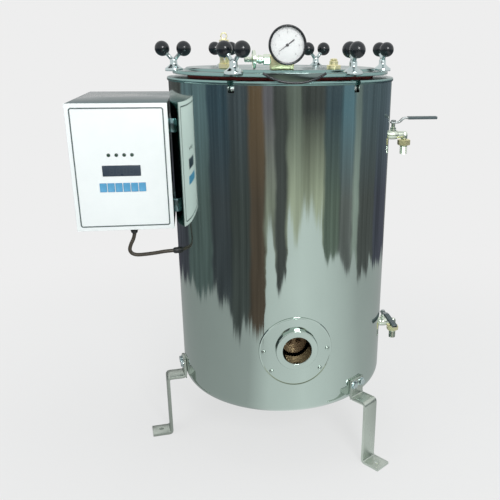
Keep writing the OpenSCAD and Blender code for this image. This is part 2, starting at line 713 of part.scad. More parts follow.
module gauge_case() color("black") difference() {
  union() {
    translate([gauge_x, case_back_y, gauge_z]) rotate([90, 0, 0])
      cylinder(r = gauge_r, h = gauge_deep, $fn = 96);
    translate([gauge_x, block_y - block_w / 2, block_z]) rotate([90, 0, 0])
      cylinder(r = 5, h = block_y - block_w / 2 - case_back_y + 8, $fn = 32);
  }
  translate([gauge_x, face_y + 8, gauge_z]) rotate([90, 0, 0])
    cylinder(r = gauge_r - bezel_w, h = 8 + past, $fn = 96);
}

module gauge_dial() color("white")
  translate([gauge_x, face_y + 8, gauge_z]) rotate([90, 0, 0]) difference() {
    cylinder(r = gauge_r - bezel_w, h = 1.5, $fn = 96);
    translate([0, 0, -past]) cylinder(r = 1 + run, h = 4, $fn = 24);
  }

module gauge_glass() color("lightblue")
  translate([gauge_x, face_y + 3, gauge_z]) rotate([90, 0, 0])
    cylinder(r = gauge_r - bezel_w, h = 2, $fn = 96);

needle_turn = 216;
needle_tail = 15;
module gauge_needle() color("black")
  translate([gauge_x, face_y + 8, gauge_z]) rotate([90, 0, 0]) union() {
    translate([0, 0, gap]) cylinder(r = 1, h = 3.5, $fn = 24);
    translate([0, 0, 1.5 + gap]) cylinder(r = 2.2, h = 1, $fn = 24);
    rotate([0, 0, needle_turn]) translate([-needle_tail, -0.6, 1.5 + gap])
      cube([needle_tail + gauge_r - bezel_w - 10, 1.2, 0.8]);
  }

module gauge_block() color("goldenrod") union() {
  translate([block_x - block_l / 2, block_y - block_w / 2, crown_z])
    cube([block_l, block_w, block_rise + block_w / 2]);
  translate([gauge_x, block_y, crown_z - lid_t - 4]) cylinder(d = stub_d, h = lid_t + 8, $fn = 32);
}

purge_len = 22;
purge_x = block_x - block_l / 2;
module purge_valve_body() color("silver") difference() {
  union() {
    translate([purge_x - purge_len, block_y, block_z]) rod_x(block_w / 2 + 1, purge_len, 6);
    translate([purge_x - purge_len - 2, block_y, block_z]) rod_x(6, 3);
  }
  translate([purge_x - purge_len - 2 - past, block_y, block_z]) rod_x(3 + run, purge_len);
}

module purge_valve_wheel() color("silver") difference() {
  union() {
    translate([purge_x - purge_len - 9, block_y, block_z]) rod_x(wheel_r, 6.5, 64);
    translate([purge_x - purge_len - 24, block_y, block_z]) rod_x(5, 16);
    translate([purge_x - purge_len - 9, block_y, block_z]) rod_x(3, 24);
  }
  translate([purge_x - purge_len - 24 - past, block_y, block_z]) rod_x(1.6, 14);
}

module safety_valve_body() color("goldenrod") translate([safety_x, safety_y, crown_z]) difference() {
  union() {
    translate([0, 0, -lid_t - 4]) cylinder(d = stub_d, h = lid_t + 5, $fn = 32);
    hexagon(19, 9);
    cylinder(r = 8.5, h = safety_h - 8, $fn = 48);
    translate([0, 0, safety_h - 10]) cylinder(r = 9, h = 10, $fn = 48);
  }
  translate([0, 0, safety_h - 24]) cylinder(r = 4 + run, h = 30, $fn = 32);
}

module safety_valve_stem() color("goldenrod") translate([safety_x, safety_y, crown_z]) union() {
  translate([0, 0, safety_h - 24]) cylinder(r = 4, h = 24 + gap, $fn = 32);
  translate([0, 0, safety_h + gap]) cylinder(r = 8.5, h = 5, $fn = 48);
  translate([0, 2, safety_h + 11]) rotate([90, 0, 0]) rotate_extrude($fn = 48)
    translate([5.2, 0]) circle(r = 1.2, $fn = 16);
}

module vent_valve_body() color("goldenrod") translate([vent_x, vent_y, crown_z]) difference() {
  union() {
    translate([0, 0, -lid_t - 4]) cylinder(d = stub_d, h = lid_t + 5, $fn = 32);
    cylinder(r = 13.5, h = 7, $fn = 48);
    translate([0, 0, 6]) cylinder(r = 8, h = vent_h - 6, $fn = 48);
  }
  translate([0, 0, -lid_t - 2]) cylinder(r = 3 + run, h = 30, $fn = 32);
}

module vent_valve_plunger() color("goldenrod") translate([vent_x, vent_y, crown_z]) union() {
  translate([0, 0, -lid_t]) cylinder(r = 3, h = lid_t + vent_h + gap, $fn = 32);
  translate([0, 0, vent_h + gap]) cylinder(r = 6.5, h = 4, $fn = 48);
}

// Clamps: a swing bolt whose open eye sits over its pin, and a wing nut with two ball knobs

eye_t = 2 * slot_half - 2 * slot_gap;
bolt_top = nut_z + nut_edge + nut_cone + nut_waist - 3;

module swing_bolt(i) color("silver") at_azimuth(60 * (i - 1), bolt_r, pin_z) difference() {
  union() {
    translate([0, eye_t / 2, 0]) rotate([90, 0, 0]) cylinder(d = eye_d, h = eye_t, $fn = 48);
    cylinder(d = bolt_d, h = bolt_top - pin_z, $fn = 48);
  }
  translate([0, eye_t, 0]) rotate([90, 0, 0]) cylinder(r = pin_d / 2 + run, h = 2 * eye_t, $fn = 48);
  translate([-pin_d / 2 - run, -eye_t, -eye_d]) cube([pin_d + 2 * run, 2 * eye_t, eye_d]);
}

module nut_arm(turn) {
  low = nut_edge + nut_cone + nut_waist - arm_d / 2 - 1;
  reach = norm([ball_out, ball_rise - low]);
  translate([0, 0, low]) rotate([0, atan2(ball_out, ball_rise - low), turn])
    cylinder(d = arm_d, h = reach, $fn = 32);
}

module wing_nut(i) color("silver") at_azimuth(60 * (i - 1), bolt_r, nut_z)
  rotate([0, 0, NUT_TURNS[i - 1]]) difference() {
  union() {
    cylinder(r = nut_foot_r, h = nut_edge, $fn = 64);
    translate([0, 0, nut_edge]) cylinder(r1 = nut_foot_r, r2 = nut_waist_r, h = nut_cone, $fn = 64);
    cylinder(r = nut_waist_r, h = nut_edge + nut_cone + nut_waist + 1, $fn = 64);
    for (s = [0, 180]) {
      rotate([0, 0, s]) nut_arm(0);
      rotate([0, 0, s]) translate([ball_out, 0, ball_rise]) sphere(d = ball_d, $fn = 48);
    }
  }
  translate([0, 0, -past]) cylinder(r = bolt_d / 2 + run, h = bolt_top - nut_z + past + gap, $fn = 48);
}

module swing_bolt_1() swing_bolt(1);
module swing_bolt_2() swing_bolt(2);
module swing_bolt_3() swing_bolt(3);
module swing_bolt_4() swing_bolt(4);
module swing_bolt_5() swing_bolt(5);
module swing_bolt_6() swing_bolt(6);
module wing_nut_1() wing_nut(1);
module wing_nut_2() wing_nut(2);
module wing_nut_3() wing_nut(3);
module wing_nut_4() wing_nut(4);
module wing_nut_5() wing_nut(5);
module wing_nut_6() wing_nut(6);

outer_jacket();
jacket_bottom();
inner_chamber();
insulation_blanket();
vessel_flange();
clamp_pins();
legs();
leg_bolts();
port_cover();
port_collar();
cover_screws();
heater_head();
heater_element();
chamber_grid();
steam_valve_body();
steam_ball();
steam_lever();
drain_valve_body();
drain_ball();
drain_lever();
control_box();
front_panel();
display_window();
indicator_lamps();
circuit_board();
box_brackets();
cable_glands();
heater_cable();
key_1();
key_2();
key_3();
key_4();
key_5();
key_6();
lid_plate();
lid_gasket();
lid_handle();
gauge_case();
gauge_dial();
gauge_glass();
gauge_needle();
gauge_block();
purge_valve_body();
purge_valve_wheel();
safety_valve_body();
safety_valve_stem();
vent_valve_body();
vent_valve_plunger();
swing_bolt_1();
swing_bolt_2();
swing_bolt_3();
swing_bolt_4();
swing_bolt_5();
swing_bolt_6();
wing_nut_1();
wing_nut_2();
wing_nut_3();
wing_nut_4();
wing_nut_5();
wing_nut_6();
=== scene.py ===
"""Looks of the vertical autoclave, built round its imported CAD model. Metres, +Z up, the front at -Y."""

import json
import logging
import math
from collections.abc import Sequence
from dataclasses import dataclass
from enum import Enum

import bpy
from mathutils import Matrix, Vector

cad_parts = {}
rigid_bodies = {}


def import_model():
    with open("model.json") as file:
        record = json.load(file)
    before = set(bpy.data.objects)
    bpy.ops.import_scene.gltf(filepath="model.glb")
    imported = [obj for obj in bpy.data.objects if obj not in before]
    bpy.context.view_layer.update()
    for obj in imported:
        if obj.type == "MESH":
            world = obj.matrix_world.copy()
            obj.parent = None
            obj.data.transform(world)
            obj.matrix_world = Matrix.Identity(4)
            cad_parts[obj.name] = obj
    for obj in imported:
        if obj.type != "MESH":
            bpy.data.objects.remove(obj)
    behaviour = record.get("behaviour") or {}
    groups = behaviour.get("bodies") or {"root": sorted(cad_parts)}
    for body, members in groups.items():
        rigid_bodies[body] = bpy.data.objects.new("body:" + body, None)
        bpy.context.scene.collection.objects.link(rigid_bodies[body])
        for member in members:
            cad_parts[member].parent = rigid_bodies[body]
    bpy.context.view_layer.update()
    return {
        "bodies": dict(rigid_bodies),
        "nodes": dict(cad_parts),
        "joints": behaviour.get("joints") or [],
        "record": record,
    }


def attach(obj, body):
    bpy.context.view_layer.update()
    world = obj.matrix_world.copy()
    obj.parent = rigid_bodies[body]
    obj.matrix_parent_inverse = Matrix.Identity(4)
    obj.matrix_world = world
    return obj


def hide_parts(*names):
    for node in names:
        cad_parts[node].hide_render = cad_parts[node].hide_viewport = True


log = logging.getLogger("autoclave")

MM = 0.001
X_AXIS, Y_AXIS, Z_AXIS = Vector((1, 0, 0)), Vector((0, 1, 0)), Vector((0, 0, 1))
Point = Colour = tuple[float, float, float]
Flat = tuple[float, float]
Piece = bpy.types.Object
Socket = bpy.types.NodeSocket
CLAMPS = 6
SIXTHS = tuple(360 / CLAMPS * i for i in range(CLAMPS))
HEXAGON = {"steps": 6, "smooth": 25.0}


def mm(x: float, y: float, z: float) -> Vector:
    """A point given in millimetres, in the frame's metres."""
    return Vector((x, y, z)) * MM


def about_z(angle: float) -> Matrix:
    """A turn about the upright axis, in degrees."""
    return Matrix.Rotation(math.radians(angle), 4, "Z")


def closed(outline: Sequence[Flat]) -> list[Flat]:
    """An outline with its first point once more at its end."""
    return [*outline, outline[0]]


def arc(centre: Flat, radius: float, start: float, end: float, steps: int) -> list[Flat]:
    """Points on an arc.

    Args:
        centre: The arc's centre.
        radius: Its radius.
        start: First angle in degrees.
        end: Last angle in degrees.
        steps: Number of steps between the two.

    Returns:
        The points, both ends included.
    """
    angles = [math.radians(start + (end - start) * i / steps) for i in range(steps + 1)]
    return [(centre[0] + radius * math.cos(a), centre[1] + radius * math.sin(a)) for a in angles]


def ring(
    bore: float, radius: float, low: float, high: float, foot: Flat, head: Flat | None = None
) -> list[Flat]:
    """Outline of a disc, nut or washer with bevelled outer edges.

    Args:
        bore: Its inner radius, 0 for a full disc.
        radius: Its outer radius.
        low: Where it starts along the axis.
        high: Where it ends.
        foot: The bevel at its start, across and along.
        head: The bevel at its end, where that is another.

    Returns:
        The outline for the lathe.
    """
    (f, g), (h, k) = foot, head or foot
    lower = [(bore, low), (radius - f, low), (radius, low + g)]
    return lower + [(radius, high - k), (radius - h, high), (bore, high)]


def rounded(path: Sequence[Flat], radius: float, steps: int) -> list[Flat]:
    """Rounds the inner corners of an open path.

    Args:
        path: Corner points.
        radius: Distance from a corner at which its round begins.
        steps: Number of steps along a round.

    Returns:
        The path with each inner corner drawn as a curve.
    """
    done = [path[0]]
    for corners in zip(path, path[1:], path[2:]):
        before, here, after = map(Vector, corners)
        start = here + (before - here).normalized() * min(radius, (before - here).length / 2)
        end = here + (after - here).normalized() * min(radius, (after - here).length / 2)
        for i in range(steps + 1):
            t = i / steps
            done.append(tuple(start * (1 - t) ** 2 + here * 2 * t * (1 - t) + end * t**2))
    return done + [path[-1]]


class Bench:
    """The workbench: starts, shapes and finishes meshes with Blender's own operators."""

    @staticmethod
    def hold(*objects: Piece) -> None:
        """Leaves edit mode and selects these objects alone, the first one active."""
        if bpy.context.object and bpy.context.object.mode != "OBJECT":
            bpy.ops.object.mode_set(mode="OBJECT")
        bpy.ops.object.select_all(action="DESELECT")
        for obj in objects:
            obj.select_set(True)
            bpy.context.view_layer.objects.active = objects[0]

    @staticmethod
    def edit() -> None:
        """Enters edit mode with all of the mesh selected."""
        bpy.ops.object.mode_set(mode="EDIT")
        bpy.ops.mesh.select_all(action="SELECT")

    @staticmethod
    def outwards() -> None:
        """Turns all faces of the mesh outwards, in edit mode."""
        bpy.ops.mesh.select_all(action="SELECT")
        bpy.ops.mesh.normals_make_consistent(inside=False)

    @staticmethod
    def settle(name: str, smooth: float = 35.0) -> Piece:
        """Ends work on the active object: place into the mesh, name, shading by angle.

        Args:
            name: The piece's name.
            smooth: Angle in degrees up to which an edge is shaded smooth.

        Returns:
            The object.
        """
        obj = bpy.context.object
        Bench.hold(obj)
        bpy.ops.object.transform_apply(location=True, rotation=True, scale=True)
        bpy.ops.object.shade_smooth_by_angle(angle=math.radians(smooth))
        obj.name = obj.data.name = name
        return obj

    @staticmethod
    def draw(points: Sequence[Vector]) -> None:
        """Draws a chain of edges through points, left in edit mode.

        Args:
            points: The chain's points, in metres.
        """
        Bench.hold()
        bpy.ops.mesh.primitive_plane_add(size=0.01, location=points[0])
        Bench.edit()
        bpy.ops.mesh.merge(type="CENTER")
        for here, there in zip(points, points[1:]):
            bpy.ops.mesh.extrude_vertices_move(TRANSFORM_OT_translate={"value": there - here})
        bpy.ops.mesh.select_all(action="SELECT")

    @staticmethod
    def turn(
        name: str,
        outline: Sequence[Flat],
        base: Vector,
        axis: Vector = Z_AXIS,
        steps: int = 64,
        smooth: float = 35.0,
        side: Vector | None = None,
    ) -> Piece:
        """Turns an outline about an axis, as on a lathe.

        Args:
            name: The piece's name.
            outline: Points as (radius, distance along the axis) in millimetres.
            base: Where the axis starts, in metres.
            axis: Direction of the axis.
            steps: Number of faces round it.
            smooth: Angle in degrees up to which an edge is shaded smooth.
            side: Direction in which the outline is drawn.

        Returns:
            The turned piece.
        """
        side = side or axis.orthogonal().normalized()
        Bench.draw([base + (side * r + axis * h) * MM for r, h in outline])
        bpy.ops.mesh.remove_doubles(threshold=1e-6)
        bpy.ops.mesh.spin(steps=steps, angle=math.tau, center=base, axis=axis)
        bpy.ops.mesh.select_all(action="SELECT")
        bpy.ops.mesh.remove_doubles(threshold=2e-6)
        Bench.outwards()
        return Bench.settle(name, smooth)

    @staticmethod
    def rod(radius: float, length: float, base: Vector, axis: Vector = Z_AXIS, steps: int = 32) -> Piece:
        """A plain round rod, such as the tool for a bore, in millimetres from its base."""
        return Bench.turn("rod", [(0, 0), (radius, 0), (radius, length), (0, length)], base, axis, steps)

    @staticmethod
    def block(name: str, low: Vector, high: Vector, edge: float = 0.6, segments: int = 2) -> Piece:
        """Makes a rectangular block with rounded edges.

        Args:
            name: The piece's name.
            low: Lowest corner, in metres.
            high: Highest corner, in metres.
            edge: Width of the rounding in millimetres.
            segments: Number of faces across the rounding.

        Returns:
            The block.
        """
        Bench.hold()
        bpy.ops.mesh.primitive_cube_add(size=1, location=(low + high) / 2, scale=high - low)
        bpy.ops.object.transform_apply(location=True, rotation=True, scale=True)
        Bench.edit()
        bpy.ops.mesh.bevel(offset=edge * MM, segments=segments, affect="EDGES")
        return Bench.settle(name)

    @staticmethod
    def strip(name: str, path: Sequence[Vector], across: Vector, thickness: float, edge: float) -> Piece:
        """Bends a flat bar along a path.

        Args:
            name: The piece's name.
            path: Middle line of the bar, along one of its long sides, in metres.
            across: From that side to the other, in metres.
            thickness: Thickness in millimetres.
            edge: Width of the edges' rounding in millimetres.

        Returns:
            The bar.
        """
        Bench.draw(path)
        bpy.ops.mesh.extrude_region_move(TRANSFORM_OT_translate={"value": across})
        bpy.ops.object.mode_set(mode="OBJECT")
        obj = bpy.context.object
        wall = obj.modifiers.new("wall", "SOLIDIFY")
        wall.thickness, wall.offset, wall.use_even_offset = thickness * MM, 0, True
        bpy.ops.object.modifier_apply(modifier=wall.name)
        Bench.round_edges(obj, edge)
        Bench.edit()
        Bench.outwards()
        return Bench.settle(name)

    @staticmethod
    def slab(outline: Sequence[Vector], depth: float) -> None:
        """Fills an upright outline and gives it a depth in millimetres along Y, left in edit mode."""
        Bench.draw(outline)
        bpy.ops.mesh.edge_face_add()
        bpy.ops.mesh.extrude_region_move(TRANSFORM_OT_translate={"value": (0, depth * MM, 0)})
        Bench.outwards()

    @staticmethod
    def round_edges(obj: Piece, width: float) -> None:
        """Rounds an object's sharp edges with an applied bevel, its width in millimetres."""
        Bench.hold(obj)
        bevel = obj.modifiers.new("edges", "BEVEL")
        bevel.width, bevel.segments = width * MM, 2
        bevel.limit_method, bevel.angle_limit = "ANGLE", math.radians(40)
        bpy.ops.object.modifier_apply(modifier=bevel.name)

    @staticmethod
    def cut(obj: Piece, *tools: Piece) -> Piece:
        """Cuts tools out of an object, and removes the tools.

        Args:
            obj: The object that is cut.
            *tools: What is cut out of it.

        Returns:
            The object.
        """
        for tool in tools:
            Bench.hold(obj)
            cutter = obj.modifiers.new("cut", "BOOLEAN")
            cutter.operation, cutter.solver, cutter.object = "DIFFERENCE", "EXACT", tool
            bpy.ops.object.modifier_apply(modifier=cutter.name)
            bpy.data.objects.remove(tool)
        return obj

    @staticmethod
    def carve(obj: Piece, *tools: Piece, smooth: float = 35.0) -> Piece:
        """Cuts tools out of an object and shades it anew."""
        Bench.hold(Bench.cut(obj, *tools))
        return Bench.settle(obj.name, smooth)

    @staticmethod
    def tube(name: str, path: Sequence[Vector], radius: float, looped: bool = False) -> Piece:
        """Makes a round tube along a path.

        Args:
            name: The piece's name.
            path: Points of its middle line, in metres.
            radius: Radius in millimetres.
            looped: True for a closed loop.

        Returns:
            The tube as a mesh.
        """
        Bench.hold()
        curve = bpy.data.curves.new(name, "CURVE")
        curve.dimensions, curve.bevel_depth, curve.bevel_resolution = "3D", radius * MM, 5
        curve.use_fill_caps = True
        spline = curve.splines.new("POLY")
        spline.points.add(len(path) - 1)
        for point, place in zip(spline.points, path):
            point.co = (*place, 1)
        spline.use_cyclic_u = looped
        obj = bpy.data.objects.new(name, curve)
        bpy.context.scene.collection.objects.link(obj)
        Bench.hold(obj)
        bpy.ops.object.convert(target="MESH")
        return Bench.settle(name, 50)

    @staticmethod
    def join(name: str, *parts: Piece) -> Piece:
        """Joins parts into one piece.

        Args:
            name: The piece's name.
            *parts: What is joined.

        Returns:
            The piece.
        """
        Bench.hold(*parts)
        if len(parts) > 1:
            bpy.ops.object.join()
        parts[0].name = parts[0].data.name = name
        return parts[0]

    @staticmethod
    def weld(name: str, *parts: Piece) -> Piece:
        """Joins parts into one piece and shades it anew."""
        Bench.join(name, *parts)
        return Bench.settle(name)

    @staticmethod
    def copy(obj: Piece, name: str, place: Matrix) -> Piece:
        """Copies a piece with a mesh of its own.

        Args:
            obj: What is copied.
            name: The copy's name.
            place: How the copy's mesh is moved.

        Returns:
            The copy.
        """
        twin = obj.copy()
        twin.data = obj.data.copy()
        twin.data.transform(place)
        twin.name = twin.data.name = name
        bpy.context.scene.collection.objects.link(twin)
        return twin

    @staticmethod
    def repeat(obj: Piece, name: str, angles: Sequence[float] = SIXTHS) -> Piece:
        """Repeats a part round the upright axis and joins the repeats.

        Args:
            obj: The part, which is used up.
            name: The joined piece's name.
            angles: Angles in degrees.

        Returns:
            The joined piece.
        """
        twins = [Bench.copy(obj, f"{name}_{i}", about_z(angle)) for i, angle in enumerate(angles)]
        bpy.data.objects.remove(obj)
        return Bench.join(name, *twins)


class Nodes:
    """The node tree of a material or a world, and the calls that lay it out."""

    def __init__(self, owner: bpy.types.Material | bpy.types.World) -> None:
        """Starts on its owner's tree."""
        owner.use_nodes = True
        self.tree = owner.node_tree

    def feed(self, node: bpy.types.Node, inputs: Sequence | dict) -> bpy.types.Node:
        """Fills a node's inputs: a socket is linked, any other value is set.

        Args:
            node: The node.
            inputs: What its inputs get, in their order, or by name or number.

        Returns:
            The node.
        """
        for key, value in inputs.items() if isinstance(inputs, dict) else enumerate(inputs):
            if isinstance(value, Socket):
                self.tree.links.new(value, node.inputs[key])
            else:
                node.inputs[key].default_value = value
        return node

    def add(self, kind: str, inputs: Sequence | dict = (), **settings: object) -> bpy.types.Node:
        """Adds a node.

        Args:
            kind: The node's type.
            inputs: What its inputs get.
            **settings: Its properties.

        Returns:
            The node.
        """
        node = self.tree.nodes.new(f"ShaderNode{kind}")
        for key, value in settings.items():
            setattr(node, key, value)
        return self.feed(node, inputs)

    def reckon(self, kind: str, *values: Socket | float, **settings: object) -> Socket:
        """A sum, product or other reckoning of values, by its math node's name."""
        return self.add("Math", values, operation=kind, **settings).outputs[0]

    def spread(self, value: Socket, *ends: float, **settings: object) -> Socket:
        """A value moved from the range of the first two ends to that of the last two."""
        return self.add("MapRange", (value, *ends), **settings).outputs[0]

    def mix(self, share: Socket | float, first: Socket, second: Socket, kind: str = "MIX") -> Socket:
        """A mix of two colours."""
        inputs = {0: share, 6: first, 7: second}
        return self.add("Mix", inputs, data_type="RGBA", blend_type=kind).outputs[2]

    def noise(self, place: Socket, detail: float, rough: float = 0.5) -> Socket:
        """Noise from 0 to 1, with so many octaves and such a share of the finer ones."""
        inputs = {"Vector": place, "Scale": 1.0, "Detail": detail, "Roughness": rough}
        return self.add("TexNoise", inputs).outputs["Fac"]

    def ramp(self, turn: Socket, stops: Sequence[tuple[float, Colour]]) -> Socket:
        """Colours by direction.

        Args:
            turn: The direction, from 0 behind the object over 0.5 at the camera to 1.
            stops: Directions in degrees from the camera's, and their colours.

        Returns:
            The colour.
        """
        node = self.add("ValToRGB", [turn])
        points = node.color_ramp.elements
        while len(points) < len(stops):
            points.new(0.5)
        for point, (angle, colour) in zip(points, sorted(stops)):
            point.position, point.color = (angle + 180) / 360, (*colour, 1)
        return node.outputs["Color"]


class Recipe(Nodes):
    """Lays out the nodes of one finish's material."""

    def __init__(self, name: str, **sockets: object) -> None:
        """Starts a material.

        Args:
            name: The material's name.
            **sockets: Values of its shader's own sockets, with underscores for the spaces in their names.
        """
        super().__init__(bpy.data.materials.new(name))
        self.shader = self.tree.nodes["Principled BSDF"]
        self.feed(self.shader, {key.replace("_", " "): value for key, value in sockets.items()})
        self.place = self.add("TexCoord").outputs["Object"]

    def stretch(self, *scale: float) -> Socket:
        """The object's own coordinates, scaled along each axis."""
        return self.add("Mapping", {"Vector": self.place, "Scale": scale}).outputs["Vector"]

    def span(self, noise: Socket, low: float, high: float) -> Socket:
        """The middle of a noise, spread from low to high."""
        return self.spread(noise, 0.3, 0.7, low, high)

    def coat(self, share: Socket, first: Colour, second: Colour, rough: Socket | float) -> None:
        """Gives the shader a blend of two colours and a roughness."""
        colour = self.mix(share, (*first, 1), (*second, 1))
        self.feed(self.shader, {"Base Color": colour, "Roughness": rough})

    def bump(self, *layers: tuple[Socket, float, float]) -> None:
        """Raises the surface by layers, each a noise, its strength and its height in millimetres."""
        under = {}
        for height, strength, depth in layers:
            inputs = {"Height": height, "Strength": strength, "Distance": depth * MM} | under
            under = {"Normal": self.add("Bump", inputs).outputs["Normal"]}
        self.feed(self.shader, under)


@dataclass(frozen=True)
class Finish:
    """A finish that pieces share. Its slot holds the name of the record's material slot, which nothing here
    reads.
    """

    name: str
    slot: str
    colour: Colour

    def lay_out(self) -> None:
        """Lays out the finish's nodes."""
        raise NotImplementedError

    def shade(self, share: float) -> Colour:
        """The finish's colour, made darker."""
        return tuple(c * share for c in self.colour)

    def dress(self, obj: Piece) -> None:
        """Gives an object this finish alone. Its material is made once."""
        if self.name not in bpy.data.materials:
            self.lay_out()
        obj.data.materials.clear()
        obj.data.materials.append(bpy.data.materials[self.name])


@dataclass(frozen=True)
class Metal(Finish):
    """Ground, polished or plated metal with its grinding lines, smears and slight waviness."""

    roughness: float
    lines: Point
    line_depth: float
    wave: float = 0.0
    wave_scale: Point = (14.0, 14.0, 2.0)
    stain: Colour = (0.6, 0.6, 0.6)
    edge: float = 1.0

    def lay_out(self) -> None:
        """Metal with lines in its colour, roughness and height."""
        nodes = Recipe(self.name, Metallic=1.0, Specular_Tint=(self.edge, self.edge, self.edge, 1.0))
        lines = nodes.noise(nodes.stretch(*self.lines), 3.0, 0.6)
        smears = nodes.noise(nodes.stretch(9.0, 9.0, 6.0), 5.0, 0.55)
        worn = tuple(c * s for c, s in zip(self.colour, self.stain))
        r = self.roughness
        rough = nodes.reckon("ADD", nodes.span(smears, r * 0.7, r * 1.3), nodes.span(lines, -r * 0.2, r * 0.3))
        nodes.coat(nodes.span(smears, 0.0, 0.55), self.colour, worn, rough)
        layers = [(lines, 0.35, self.line_depth)]
        if self.wave:
            layers.insert(0, (nodes.noise(nodes.stretch(*self.wave_scale), 2.0, 0.4), 1.0, self.wave))
        nodes.bump(*layers)


@dataclass(frozen=True)
class Moulded(Finish):
    """Moulded plastic or rubber with a fine grain."""

    roughness: float
    grain: float
    grain_depth: float
    dust: Colour = (0.25, 0.25, 0.25)
    dust_share: float = 0.06
    gloss: float = 0.0

    def lay_out(self) -> None:
        """Plastic with grain in its height and a little dust in its colour."""
        nodes = Recipe(self.name, Coat_Weight=self.gloss, Coat_Roughness=0.08)
        dust = nodes.noise(nodes.stretch(35.0, 35.0, 35.0), 6.0, 0.65)
        rough = nodes.span(dust, self.roughness * 0.85, self.roughness * 1.2)
        nodes.coat(nodes.span(dust, 0.0, self.dust_share), self.colour, self.dust, rough)
        nodes.bump((nodes.noise(nodes.stretch(self.grain, self.grain, self.grain), 2.0), 0.5, self.grain_depth))


@dataclass(frozen=True)
class Clear(Finish):
    """Clear glass: thin, glossy and see-through to a set share."""

    alpha: float
    roughness: float = 0.03

    def lay_out(self) -> None:
        """Glass with faint smears."""
        nodes = Recipe(self.name, Alpha=self.alpha, IOR=1.5)
        smears = nodes.noise(nodes.stretch(60.0, 60.0, 60.0), 5.0, 0.6)
        rough = nodes.span(smears, self.roughness, self.roughness * 2.5)
        nodes.coat(nodes.span(smears, 0.0, 1.0), self.colour, self.shade(0.9), rough)


@dataclass(frozen=True)
class Felt(Finish):
    """Felted mineral fibre."""

    def lay_out(self) -> None:
        """Fibre with long and short strands."""
        nodes = Recipe(self.name, Sheen_Weight=0.3)
        strands = nodes.noise(nodes.stretch(220.0, 220.0, 900.0), 6.0, 0.7)
        clumps = nodes.noise(nodes.stretch(40.0, 40.0, 40.0), 4.0, 0.6)
        nodes.coat(nodes.span(strands, 0.0, 1.0), self.colour, self.shade(0.6), 0.95)
        nodes.bump((clumps, 0.6, 2.0), (strands, 0.8, 0.4))


@dataclass(frozen=True)
class Board(Finish):
    """A circuit board's lacquer with its copper tracks."""

    track: Colour = (0.03, 0.22, 0.08)

    def lay_out(self) -> None:
        """Lacquer with tracks as cell borders."""
        nodes = Recipe(self.name)
        inputs = {"Vector": nodes.stretch(180.0, 180.0, 180.0), "Scale": 1.0}
        cells = nodes.add("TexVoronoi", inputs, feature="DISTANCE_TO_EDGE", distance="MANHATTAN")
        tracks = nodes.reckon("LESS_THAN", cells.outputs["Distance"], 0.08)
        nodes.coat(tracks, self.colour, self.track, 0.35)
        nodes.bump((tracks, 0.4, 0.05))


EVEN = (700.0, 700.0, 700.0)
JACKET_STEEL = Metal(
    "mirror_jacket_steel", "polished_steel", (0.52, 0.62, 0.57), 0.06, (1300.0, 1300.0, 18.0), 0.0014,
    wave=0.3, wave_scale=(11.0, 11.0, 1.4), stain=(0.9, 0.9, 0.9),
)
LID_STEEL = Metal(
    "spun_lid_steel", "lid_steel", (0.28, 0.44, 0.42), 0.2, (500.0, 500.0, 500.0), 0.004,
    wave=0.1, wave_scale=(9.0, 9.0, 9.0), stain=(0.85, 0.86, 0.87), edge=0.7,
)
# Steel whose colour is darkened to stand in for the dark room that the handle reflects: a painted dark
# reflection.
HANDLE_STEEL = Metal(
    "handle_steel_painted_dark_reflection", "polished_steel", (0.20, 0.26, 0.25), 0.16, (40.0, 900.0, 900.0), 0.004
)
BOX_STEEL = Metal(
    "brushed_box_steel", "box_steel", (0.24, 0.37, 0.38), 0.16, (30.0, 900.0, 900.0), 0.003,
    wave=0.08, wave_scale=(6.0, 6.0, 6.0), stain=(0.82, 0.84, 0.84), edge=0.5,
)
INNER_STEEL = Metal("drawn_pot_steel", "inner_steel", (0.62, 0.62, 0.60), 0.3, (60.0, 60.0, 900.0), 0.01)
BARE_STEEL = Metal(
    "galvanised_leg_steel", "bare_steel", (0.60, 0.66, 0.60), 0.32, (600.0, 600.0, 60.0), 0.01,
    wave=0.1, wave_scale=(40.0, 40.0, 40.0), stain=(0.75, 0.76, 0.74),
)
BOLT_STEEL = Metal("turned_bolt_steel", "bare_steel", (0.86, 0.92, 0.90), 0.38, (300.0, 300.0, 900.0), 0.008)
CHROME = Metal(
    "clamp_chrome_plate", "clamp_chrome", (0.62, 0.72, 0.72), 0.14, EVEN, 0.002,
    wave=0.02, wave_scale=(90.0, 90.0, 90.0), stain=(0.7, 0.72, 0.74),
)
LEVER_STEEL = Metal("pressed_lever_steel", "lever_steel", (0.42, 0.46, 0.46), 0.35, (60.0, 900.0, 900.0), 0.01)
VALVE_CHROME = Metal(
    "cast_valve_chrome", "valve_chrome", (0.84, 0.92, 0.80), 0.2, (500.0, 500.0, 500.0), 0.003,
    wave=0.04, wave_scale=(120.0, 120.0, 120.0), stain=(0.82, 0.84, 0.78),
)
BRASS = Metal(
    "turned_brass", "brass", (0.97, 0.93, 0.60), 0.36, EVEN, 0.006,
    wave=0.03, wave_scale=(90.0, 90.0, 90.0), stain=(0.86, 0.8, 0.6),
)
HEATER_METAL = Metal(
    "scaled_heater_metal", "heater_metal", (0.3, 0.22, 0.14), 0.46, (400.0, 400.0, 400.0), 0.02,
    stain=(0.6, 0.42, 0.34),
)
BLACK_PLASTIC = Moulded(
    "black_knob_resin", "black_plastic", (0.006, 0.009, 0.012), 0.22, 900.0, 0.003,
    (0.08, 0.10, 0.12), 0.04, 0.1,
)
GRIP_VINYL = Moulded(
    "grey_grip_vinyl", "lever_steel", (0.075, 0.105, 0.115), 0.5, 500.0, 0.12, (0.16, 0.2, 0.2), 0.25
)
GLAND_BLACK = Moulded(
    "black_gland_nylon", "black_plastic", (0.022, 0.023, 0.023), 0.45, 1200.0, 0.02, (0.12, 0.12, 0.12), 0.1
)
GASKET_RUBBER = Moulded(
    "red_gasket_rubber", "gasket_rubber", (0.42, 0.05, 0.045), 0.6, 700.0, 0.03, (0.5, 0.2, 0.16), 0.12
)
